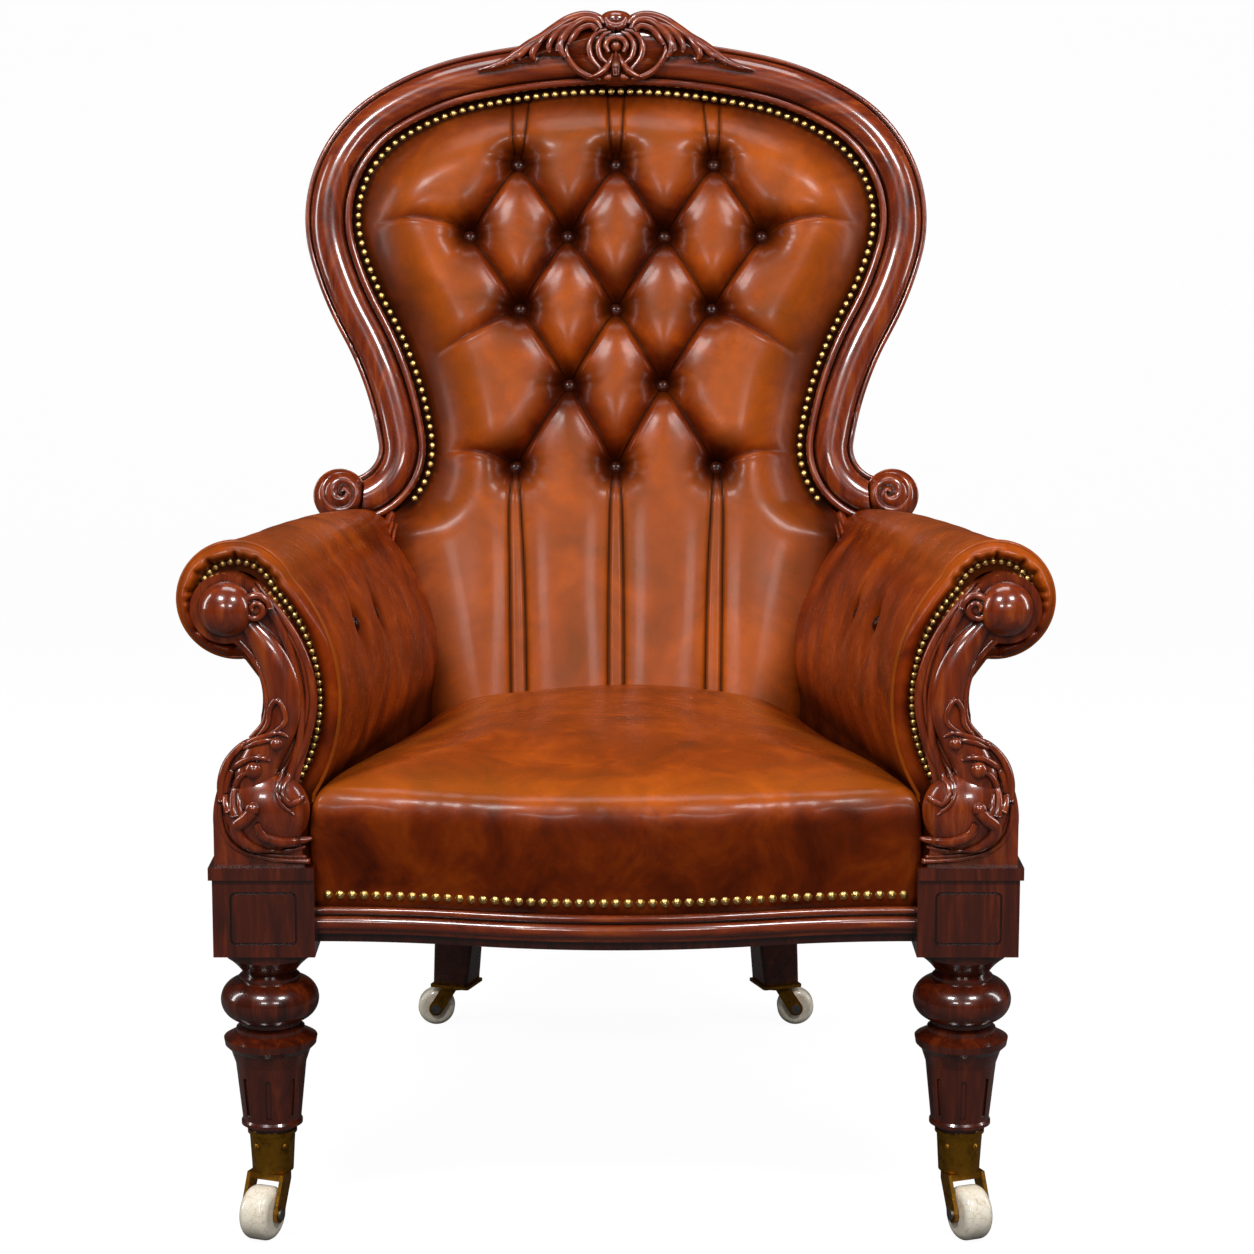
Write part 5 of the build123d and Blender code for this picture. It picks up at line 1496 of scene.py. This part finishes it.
@dataclass
class SeamPiping:
    """Double piping where the back meets the arms, and a roll of hide that fills their corner."""

    finishes: Finishes
    plane: RakedPlane = RakedPlane()
    frame: ShowFrame = ShowFrame()
    top: float = -30.0
    border: float = 8.0
    cords: tuple[tuple[float, float, float], ...] = ((1.0, 29.5, 2.3), (6.0, 33.5, 1.9),
                                                     (-4.0, 6.0, 6.0))

    def build(self) -> bpy.types.Object:
        """Builds the cords of both sides as one piece.

        Returns:
            The piece.
        """
        pile = MeshPile()
        for inset, height, radius in self.cords:
            side = self.frame.pad_side(inset)
            line = along(side[side[:, 1] < self.top], 160)
            rise = fade(line[:, 1], self.top, self.top - 30.0)
            lift = height * rise + self.border * (1 - rise)
            points = self.plane.place(line[:, 0], line[:, 1], lift)
            pile.add_both(*rounded_sweep(points, np.full(len(points), radius), self.plane.normal(),
                                         sides=8))
        piece = pile.make("seam_piping", self.finishes.hide)
        return piece


# Carving

@dataclass(frozen=True)
class Stroke:
    """One cut of the carver's gouge: a raised rib through places, each with its half width."""

    places: tuple[tuple[float, float, float], ...]
    lift: float = 0.0
    flatness: float = 1.0

    def shape(self, put: Callable[[Array, Array, float], Array], facing: Array,
              count: int = 40) -> tuple[Array, Faces]:
        """The stroke as a rod.

        Args:
            put: turns places in the drawing, and a lift, into points of the chair.
            facing: the direction that the carving faces.
            count: how many points its line has.
        Returns:
            The vertices and the faces.
        """
        knots = smooth_line(self.places, count)
        line = put(knots[:, 0], knots[:, 1], self.lift)
        return rounded_sweep(line, np.maximum(knots[:, 2], 0.3), facing, self.flatness, sides=12)


def ball(centre: Array, radii: tuple[float, float, float],
         sides: int = 40, rings: int = 24) -> tuple[Array, Faces]:
    """An egg-shaped swelling, with its poles to the front and the back.

    Args:
        centre: its middle.
        radii: half its size across, deep and high.
        sides, rings: how many vertices go round it and how many rings it has.
    Returns:
        The vertices and the faces.
    """
    pole = 0.05
    turn = np.linspace(0, 2 * math.pi, sides, endpoint=False)
    climb = np.linspace(-math.pi / 2 + pole, math.pi / 2 - pole, rings)
    points = np.stack([np.cos(climb)[:, None] * np.cos(turn)[None, :],
                       np.repeat(np.sin(climb)[:, None], sides, 1),
                       np.cos(climb)[:, None] * np.sin(turn)[None, :]], -1)
    faces = flipped(grid_faces(rings, sides, closed=True)) + end_caps(rings, sides)
    return (points * np.array(radii)).reshape(-1, 3) + centre, faces


@dataclass
class CarvedArmFront:
    """The show-wood front of an arm: boss, curled volute, swelling scroll, acanthus at the knee."""

    finishes: Finishes
    face_y: float = -359.5
    boss: tuple[float, float] = (331.0, 567.0)
    boss_radii: tuple[float, float, float] = (23.5, 21.5, 23.5)
    bulb: tuple[float, float] = (300.0, 391.0)
    bulb_radii: tuple[float, float, float] = (37.0, 23.0, 37.0)
    strokes: tuple[Stroke, ...] = (
        Stroke(((314, 556, 7), (299, 536, 12.5), (287.5, 514, 15), (282.5, 492, 16), (285, 472, 16),
                (293, 454, 16.5), (303, 437, 18), (309, 420, 19), (307, 404, 17)), 0.0, 0.72),
        Stroke(((322, 541, 1.5), (309, 526, 2.4), (301, 508, 2.6), (297.5, 488, 2.6),
                (300, 470, 2.6), (312, 455, 2.4)), 1.5),
        Stroke(((306, 590, 1.5), (289, 568, 3), (273.5, 544, 3.6), (263.5, 520, 3.8),
                (258.6, 494, 3.8), (261, 468, 3.8), (269.5, 443, 3.6), (279, 424, 3.2),
                (285, 411, 3), (278.5, 400, 3), (268, 404, 2.6)), 2.0),
        Stroke(((303, 579, 1.2), (286, 555, 2), (271.5, 532, 2.4), (265, 510, 2.4),
                (263.5, 486, 2.4), (267.5, 463, 2.4), (277, 441, 2.2), (286, 425, 2), (290, 413, 2),
                (286, 401, 2), (275, 391, 1.4)), 3.5),
        Stroke(((337.5, 400, 4.5), (338, 417, 4), (333, 433, 3.8), (322.5, 446, 3.4), (310, 454, 3),
                (298, 459, 2.6), (287.5, 462, 2.4), (280, 458, 1.2)), 3.5),
        Stroke(((322, 444, 1.2), (308, 452, 2.4), (296, 455.5, 2.4), (288, 455, 1)), 6.0),
        Stroke(((330, 392, 4.8), (334, 405, 4.4), (332, 419, 3.8), (325, 431, 3.4), (315, 438, 3),
                (304, 440.5, 2.8), (295, 438, 1.2)), 6.0),
        Stroke(((325, 390, 5), (327, 403, 3.6), (325, 415, 3), (320, 424, 2.6),
                (313, 428, 1.2)), 8.0),
        Stroke(((319, 389, 3.4), (321, 399, 2.6), (323, 409, 1)), 8.5),
        Stroke(((306, 458, 1.2), (297, 468.5, 2.6), (294.5, 482, 2.8), (288.5, 490, 2.6),
                (283, 483, 2.4), (281, 473, 2.4), (286.5, 466, 2.2), (294, 462, 1)), 9.5),
        Stroke(((309, 396, 5.5), (316, 388, 6), (324, 381, 6.2), (322, 371, 6), (311, 362, 5),
                (297, 358, 2)), 8.0),
        Stroke(((307, 385, 3), (302, 374, 4.5), (288, 367, 5), (272, 365.5, 4),
                (261, 367, 1.4)), 8.0),
        Stroke(((298, 357.5, 1.4), (282, 356.5, 3), (267, 359.5, 1.2)), 6.0),
        Stroke(((339.5, 398, 2.4), (339, 381, 2.8), (332, 364, 2.8), (318, 354, 2.8),
                (298, 349, 2.8), (277, 347, 2.8), (263, 346.5, 2.8)), 2.0),
        Stroke(((337, 388, 1.4), (333, 374, 2), (324, 362, 2), (310, 355, 2), (289, 351.5, 2),
                (266, 350.5, 1.6)), 2.5))
    berries: tuple[tuple[float, float, float], ...] = ((289, 452.5, 5.6), (309, 430, 7.4),
                                                       (310, 397, 6.2))
    curl_eye: tuple[float, float] = (305.5, 568.5)
    curl_radius: float = 11.5
    curl_turns: float = 1.7

    def front_at(self, x: Array, z: Array) -> Array:
        """Finds the carved ground: the bulb or the ribbon, whichever is higher.

        Args:
            x, z: places on the arm front, across and up.
        Returns:
            How far forward the ground stands there, as y.
        """
        across = ((x - self.bulb[0]) / self.bulb_radii[0]) ** 2
        up = ((z - self.bulb[1]) / self.bulb_radii[2]) ** 2
        swell = self.bulb_radii[1] * np.sqrt(np.clip(1 - across - up, 0, 1)) - 3.0
        spine = smooth_line(self.strokes[0].places, 120)
        dx = np.asarray(x, float)[..., None] - spine[:, 0]
        dz = np.asarray(z, float)[..., None] - spine[:, 1]
        gaps = np.hypot(dx, dz) / spine[:, 2]
        depth = np.take(spine[:, 2], gaps.argmin(-1)) * self.strokes[0].flatness
        ribbon = depth * np.sqrt(np.clip(1 - gaps.min(-1) ** 2, 0, 1))
        return self.face_y - np.maximum(np.maximum(swell, ribbon), 0.0)

    def put(self, x: Array, z: Array, lift: float) -> Array:
        """Places on the arm front, as points of the chair that stand on the carved ground."""
        return np.stack([x, self.front_at(x, z) + 0.5 - 0.12 * lift, z], -1)

    def flat(self, x: Array, z: Array, lift: float) -> Array:
        """Places on the arm front, as points of the chair that stand on its plain face."""
        return np.stack([x, np.full(x.shape, self.face_y), z], -1)

    def curl(self) -> tuple[Array, Faces]:
        """The rib that curls inwards at the volute.

        Returns:
            The vertices and the faces.
        """
        turn = np.linspace(0, 2 * math.pi * self.curl_turns, 90)
        share = turn / turn[-1]
        radius = self.curl_radius * (1 - share) ** 0.85 + 1.0
        line = np.stack([self.curl_eye[0] + radius * np.cos(math.pi - turn),
                         self.face_y - 7.0 - 5.0 * share,
                         self.curl_eye[1] + radius * np.sin(math.pi - turn)], 1)
        return rounded_sweep(line, 3.6 - 1.8 * share, FORWARD, sides=12)

    def build(self) -> bpy.types.Object:
        """Builds both fronts as one piece.

        Returns:
            The piece.
        """
        pile = MeshPile()
        pile.add_both(*self.strokes[0].shape(self.flat, FORWARD, 80))
        for stroke in self.strokes[1:]:
            pile.add_both(*stroke.shape(self.put, FORWARD))
        for x, z, radius in self.berries:
            y = float(self.front_at(np.array(x), np.array(z))) - 1.5
            pile.add_both(*ball(np.array([x, y, z]), (radius, radius * 0.8, radius), 20, 14))
        for (x, z), depth, radii in ((self.boss, -1.5, self.boss_radii),
                                     (self.bulb, 3.0, self.bulb_radii)):
            pile.add_both(*ball(np.array([x, self.face_y + depth, z]), radii))
        pile.add_both(*self.curl())
        eye = np.array([self.curl_eye[0], self.face_y - 3.0, self.curl_eye[1]])
        pile.add_both(*ball(eye, (11.0, 7.0, 11.0), 24, 14))
        piece = pile.make("carved_arm_fronts", self.finishes.wood_up)
        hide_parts("arm_knee_carving_right", "arm_knee_carving_left", "arm_boss_right",
                    "arm_boss_left")
        return piece


@dataclass
class CarvedCrest:
    """The carved crest: paired scrolls and leaf fronds about a ringed shell, a lily below it."""

    finishes: Finishes
    plane: RakedPlane = RakedPlane()
    ground: float = 25.0
    back: float = -18.0
    upper: Pairs = (
        (0, 472), (13, 475), (30, 479), (48, 475), (64, 465.5), (76, 456.5), (87, 450), (101, 440),
        (115, 430.5), (129, 425), (143, 421))
    lower: Pairs = (
        (122, 421.5), (108, 425), (98, 431), (86, 430), (78, 440), (66, 438), (55, 437), (50, 430),
        (40, 420), (28, 413.5), (14, 410), (0, 409.5))
    strokes: tuple[Stroke, ...] = (
        Stroke(((12.5, 470, 2.5), (18, 476, 4.2), (32, 478.5, 5), (48, 474, 5.4), (63, 464.5, 5.4),
                (76, 455.5, 5), (88, 449, 4.6), (101, 440, 4.2), (115, 430.5, 3.4), (129, 425, 2.4),
                (143, 421, 0.8)), 1.0),
        Stroke(((15, 464, 2.6), (21, 472, 3.6), (34, 473, 4.2), (47, 464, 4.6), (56, 452, 5),
                (60, 440, 3.6)), 3.0),
        Stroke(((19, 462, 3.4), (26, 467, 3.2), (37, 463.5, 3.2), (44, 455, 3.4),
                (49, 447, 2.2)), 4.5),
        Stroke(((41, 471, 1.2), (55, 464, 2.8), (64, 455, 3.6), (68.5, 446, 3.4),
                (68, 439, 1.8)), 5.0),
        Stroke(((52, 458, 1.2), (57, 449, 3.4), (56, 440, 3.2), (52, 434, 1.6)), 6.0),
        Stroke(((72, 457, 1), (79, 449, 3.4), (85, 440, 4), (85, 434, 2.6), (81, 431, 1)), 4.5),
        Stroke(((82, 450, 1), (93, 441, 3.2), (99, 435.5, 3.4), (99, 431, 1.6)), 5.0),
        Stroke(((92, 443, 1), (104, 434, 2.8), (111, 429.5, 2.8), (112, 426, 1.2)), 5.0),
        Stroke(((104, 435, 0.8), (116, 427.5, 2.2), (125, 424, 2), (130, 422, 0.8)), 5.0),
        Stroke(((9, 463, 1.6), (20, 459, 3), (27, 448, 3.4), (25, 434, 3.2),
                (15.5, 422, 2.2)), 3.5),
        Stroke(((5, 460, 1.6), (12.5, 456.5, 2.8), (18, 446.5, 3.2), (15.5, 434, 3),
                (8, 427, 1.8)), 6.0),
        Stroke(((0, 454.5, 2.6), (7, 452, 2.8), (10.5, 445.5, 2.8), (7.5, 438.5, 2.2)), 8.5),
        Stroke(((50, 449, 1.4), (51, 441, 2.6), (47, 431, 2.8), (39, 421.5, 2.8), (28, 415, 2.8),
                (16, 412, 2.4)), 3.0),
        Stroke(((0, 440, 0.8), (0, 431, 3.6), (0, 423, 4.8), (0, 414, 3.4)), 8.0),
        Stroke(((3, 437, 0.8), (6.5, 428, 3), (12, 420, 3.4), (20, 415, 2.4), (27, 413, 0.8)), 7.5),
        Stroke(((5, 413.5, 3), (9, 412.5, 3.2), (12, 411.5, 1.4)), 6.0),
        Stroke(((0, 466, 5), (6, 468, 4.5), (10.5, 474, 2)), 3.0))

    def put(self, x: Array, t: Array, lift: float) -> Array:
        """Places in the raked plane, as points of the chair."""
        return self.plane.place(x, t, self.ground + 1.0 + 0.9 * lift)

    def panel(self) -> tuple[Array, Faces]:
        """The board under the strokes: its front and its sides, with no face at its rear.

        Returns:
            The vertices and the faces.
        """
        right = along(np.array(self.upper + self.lower), 90)
        whole = np.vstack([right, (right * [-1, 1])[::-1][1:-1]])
        count = len(whole)
        front, rear = (self.plane.place(whole[:, 0], whole[:, 1], depth)
                       for depth in (self.ground, self.back))
        sides = [(i, i + count, (i + 1) % count + count, (i + 1) % count) for i in range(count)]
        return np.vstack([front, rear]), sides + [tuple(range(count))]

    def build(self) -> bpy.types.Object:
        """Builds the crest's carving as one piece.

        Returns:
            The piece.
        """
        pile = MeshPile()
        for stroke in self.strokes:
            pile.add_both(*stroke.shape(self.put, self.plane.normal()))
        bead = self.plane.place(0.0, 446.0, self.ground + 3.0)
        pile.add(*ball(bead, (6.5, 5.0, 6.5), 20, 12))
        pile.add(*self.panel())
        piece = pile.make("carved_crest", self.finishes.wood_across)
        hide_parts("crest_carving")
        return piece


@dataclass
class StileVolute:
    """The scroll that ends a stile: a full round roll with a spiral raised on its front."""

    finishes: Finishes
    plane: RakedPlane = RakedPlane()
    centre: tuple[float, float] = (281.0, -14.0)
    eye: tuple[float, float] = (276.0, -12.5)
    radius: float = 27.0
    front: float = 23.0
    back: float = -26.0
    turns: float = 2.1
    ridge: float = 4.2
    shoulder: float = 7.0
    rim: float = 4.5
    sides: int = 160
    rings: int = 70
    side_rows: Pairs = ((0.15, 0.6), (0.4, 1.0), (0.7, 1.0), (0.9, 0.6), (1.0, 0.0))

    def build(self) -> bpy.types.Object:
        """Builds both volutes as one piece.

        Returns:
            The piece.
        """
        turn = np.linspace(0, 2 * math.pi, self.sides, endpoint=False)
        circle = np.stack([np.cos(turn), np.sin(turn)], 1)
        edge, eye = self.centre + self.radius * circle, np.array(self.eye)
        rows = []
        for share in np.linspace(0.02, 1, self.rings):
            spot = eye + (edge - eye) * share
            phase = self.turns * share ** 0.8 - turn / (2 * math.pi)
            spiral = np.abs(np.cos(math.pi * phase)) ** 0.8
            height = self.front + self.ridge * (0.4 + 1.2 * (1 - share)) * spiral
            height -= self.shoulder * fade(share, 0.55, 1.0) + self.rim * bell(share - 1.0, 0.12)
            rows.append(self.plane.place(spot[:, 0], spot[:, 1], height))
        start = self.front - self.shoulder - 4.0
        for depth, swell in self.side_rows:
            spot = self.centre + (edge - self.centre) * (1 + 0.022 * swell)
            rows.append(self.plane.place(spot[:, 0], spot[:, 1],
                                         start + (self.back - start) * depth))
        faces = grid_faces(len(rows), self.sides, closed=True) + end_caps(len(rows), self.sides)
        pile = MeshPile()
        pile.add_both(np.vstack(rows), faces)
        piece = pile.make("stile_volutes", self.finishes.wood_up)
        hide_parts("stile_volute_right", "stile_volute_left")
        return piece


# Studio

@dataclass(frozen=True)
class Panel:
    """A soft rectangular light, turned to its target."""

    name: str
    place: tuple[float, float, float]
    size: tuple[float, float]
    power: float
    target: tuple[float, float, float] = (0.0, 0.0, 0.6)

    def hang(self) -> None:
        """Puts the light into the scene."""
        data = bpy.data.lights.new(self.name, "AREA")
        data.shape, data.energy = "RECTANGLE", self.power
        data.size, data.size_y = self.size
        lamp = bpy.data.objects.new(self.name, data)
        bpy.context.scene.collection.objects.link(lamp)
        lamp.location = self.place
        aim = Vector(self.target) - Vector(self.place)
        lamp.rotation_euler = aim.to_track_quat("-Z", "Y").to_euler()


@dataclass(frozen=True)
class Studio:
    """A pale floor, soft light from large panels, and the camera where the photograph was taken."""

    camera_place: tuple[float, float, float] = (0.0, -3.122, 1.030)
    pitch_down: float = 9.83
    lens: float = 94.65
    shift_x: float = 0.0088
    sensor: float = 36.0
    panels: tuple[Panel, ...] = (
        Panel("key", (-1.25, -2.3, 3.0), (0.75, 0.55), 66.0, (0.0, 0.0, 0.62)),
        Panel("fill", (1.35, -2.2, 2.9), (0.7, 0.55), 54.0),
        Panel("front_left", (-0.75, -3.1, 1.58), (0.6, 0.34), 13.0),
        Panel("front_right", (0.75, -3.1, 1.58), (0.6, 0.34), 13.0),
        Panel("top", (0.0, 0.1, 2.9), (1.6, 0.8), 20.0),
        Panel("rim_left", (-2.5, -0.2, 1.4), (0.3, 1.8), 20.0),
        Panel("rim_right", (2.5, -0.2, 1.4), (0.3, 1.8), 20.0))
    floor_half: float = 8.0
    floor_front: float = -6.0
    floor_middle: float = 0.5
    sweep_start: float = 3.0
    sweep_radius: float = 1.5
    wall_top: float = 7.0

    def build(self) -> None:
        """Makes the camera, the floor, the lights and the world."""
        data = bpy.data.cameras.new("camera")
        data.lens, data.sensor_width, data.shift_x = self.lens, self.sensor, self.shift_x
        data.clip_end = 60.0
        camera = bpy.data.objects.new("camera", data)
        bpy.context.scene.collection.objects.link(camera)
        camera.location = self.camera_place
        camera.rotation_euler = (math.radians(90 - self.pitch_down), 0.0, 0.0)
        bpy.context.scene.camera = camera
        self.floor()
        for panel in self.panels:
            panel.hang()
        bpy.context.scene.view_settings.view_transform = "Standard"
        self.world()

    @staticmethod
    def world() -> None:
        """Fills the room with an even light that is weaker in what shines."""
        world = bpy.context.scene.world or bpy.data.worlds.new("studio")
        bpy.context.scene.world = world
        world.use_nodes = True
        tree = world.node_tree
        tree.nodes.clear()
        mirrored_ray = add_node(tree, "ShaderNodeLightPath").outputs["Is Glossy Ray"]
        strength = add_node(tree, "ShaderNodeMapRange", {0: mirrored_ray, 3: 0.20, 4: 0.03})
        light = add_node(tree, "ShaderNodeBackground",
                         {"Color": WHITE, "Strength": strength.outputs[0]})
        add_node(tree, "ShaderNodeOutputWorld", {"Surface": light.outputs[0]})

    @staticmethod
    def paper() -> bpy.types.Material:
        """White paper, matt with a faint tooth, which the camera sees as nearly pure white.

        Returns:
            The material.
        """
        made, tree = start_material("white_paper_sweep")
        tooth = add_node(tree, "ShaderNodeTexNoise", {"Scale": 400.0, "Detail": 3.0})
        tone = add_node(tree, "ShaderNodeMapRange", {0: tooth.outputs["Fac"], 3: 0.07, 4: 0.09})
        dull = add_node(tree, "ShaderNodeBsdfDiffuse", {"Color": tone.outputs[0]})
        lit = add_node(tree, "ShaderNodeEmission", {"Color": WHITE, "Strength": 0.95})
        both = add_node(tree, "ShaderNodeAddShader", {0: dull.outputs[0], 1: lit.outputs[0]})
        seen = add_node(tree, "ShaderNodeLightPath").outputs["Is Camera Ray"]
        shader = add_node(tree, "ShaderNodeMixShader",
                          {0: seen, 1: dull.outputs[0], 2: both.outputs[0]})
        add_node(tree, "ShaderNodeOutputMaterial", {"Surface": shader.outputs[0]})
        return made

    def floor(self) -> None:
        """A large pale sheet under the chair that sweeps up behind it."""
        bends = [(self.sweep_start + self.sweep_radius * math.sin(angle),
                  self.sweep_radius - self.sweep_radius * math.cos(angle))
                 for angle in np.linspace(0, math.pi / 2, 24)]
        rows = [(self.floor_front, 0.0), (self.floor_middle, 0.0), *bends,
                (self.sweep_start + self.sweep_radius, self.wall_top)]
        points = [(x, y, z) for y, z in rows for x in (-self.floor_half, self.floor_half)]
        mesh = bpy.data.meshes.new("floor")
        mesh.from_pydata(points, [], grid_faces(len(rows), 2))
        mesh.shade_smooth()
        mesh.materials.append(self.paper())
        sweep = bpy.data.objects.new("floor", mesh)
        bpy.context.scene.collection.objects.link(sweep)


# Dressing the nodes that stay

@dataclass
class FrameDresser:
    """Gives every node of the frame its finish, the replaced ones too."""

    finishes: Finishes

    def finish_of(self, name: str) -> bpy.types.Material:
        """Finds a node's finish.

        Args:
            name: the node's name.
        Returns:
            The finish of the first rule that fits; the plain frame wood where none does.
        """
        f = self.finishes
        rules: list[tuple[str, bpy.types.Material]] = [
            ("crest", f.wood_across), ("back_stile", f.wood_up), ("stile_volute", f.wood_up),
            ("arm_facing", f.wood_up), ("arm_boss", f.wood_up), ("arm_knee", f.wood_up),
            ("front_leg", f.leg_wood), ("rear_leg", f.leg_wood),
            ("front_rail_moulding", f.wood_across), ("front_seat_rail", f.leg_wood),
            ("outside_", f.plain_hide), ("back_pad", f.hide), ("seat_pad", f.hide),
            ("arm_pad", f.hide), ("leather_buttons", f.button_hide), ("seat_webbing", f.jute),
            ("spring_canvas", f.canvas), ("dust_cover", f.cambric), ("seat_springs", f.steel),
            ("castor_axle", f.steel), ("castor_wheel", f.porcelain), ("castor_", f.cup_brass),
            ("back_nails", f.nail_brass), ("rail_nails", f.nail_brass), ("arm_nails", f.nail_brass)]
        for start, material in rules:
            if name.startswith(start):
                return material
        return f.inner_wood

    def dress(self, nodes: dict[str, bpy.types.Object]) -> None:
        """Puts the finishes on every node.

        Args:
            nodes: the frame's nodes by name.
        """
        for name, node in nodes.items():
            finish = self.finish_of(name)
            if not node.material_slots:
                node.data.materials.append(finish)
            for slot in node.material_slots:
                slot.material = finish
            log.info("%s wears %s", name, finish.name)


def main() -> None:
    """Builds the chair's looks in order."""
    logging.basicConfig(level=logging.INFO, format="%(name)s: %(message)s")
    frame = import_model()
    Studio().build()
    finishes = Finishes()
    FrameDresser(finishes).dress(frame["nodes"])
    back, arm = ButtonedBack(finishes), RolledArm(finishes)
    back.build()
    SpringSeat(finishes).build()
    for side in (1, -1):
        arm.build(side)
    arm.nails()
    BackNails(finishes).build()
    LeatherButtons(finishes, back, arm).build()
    SeamPiping(finishes).build()
    CarvedArmFront(finishes).build()
    CarvedCrest(finishes).build()
    StileVolute(finishes).build()


if __name__ == "__main__":
    main()
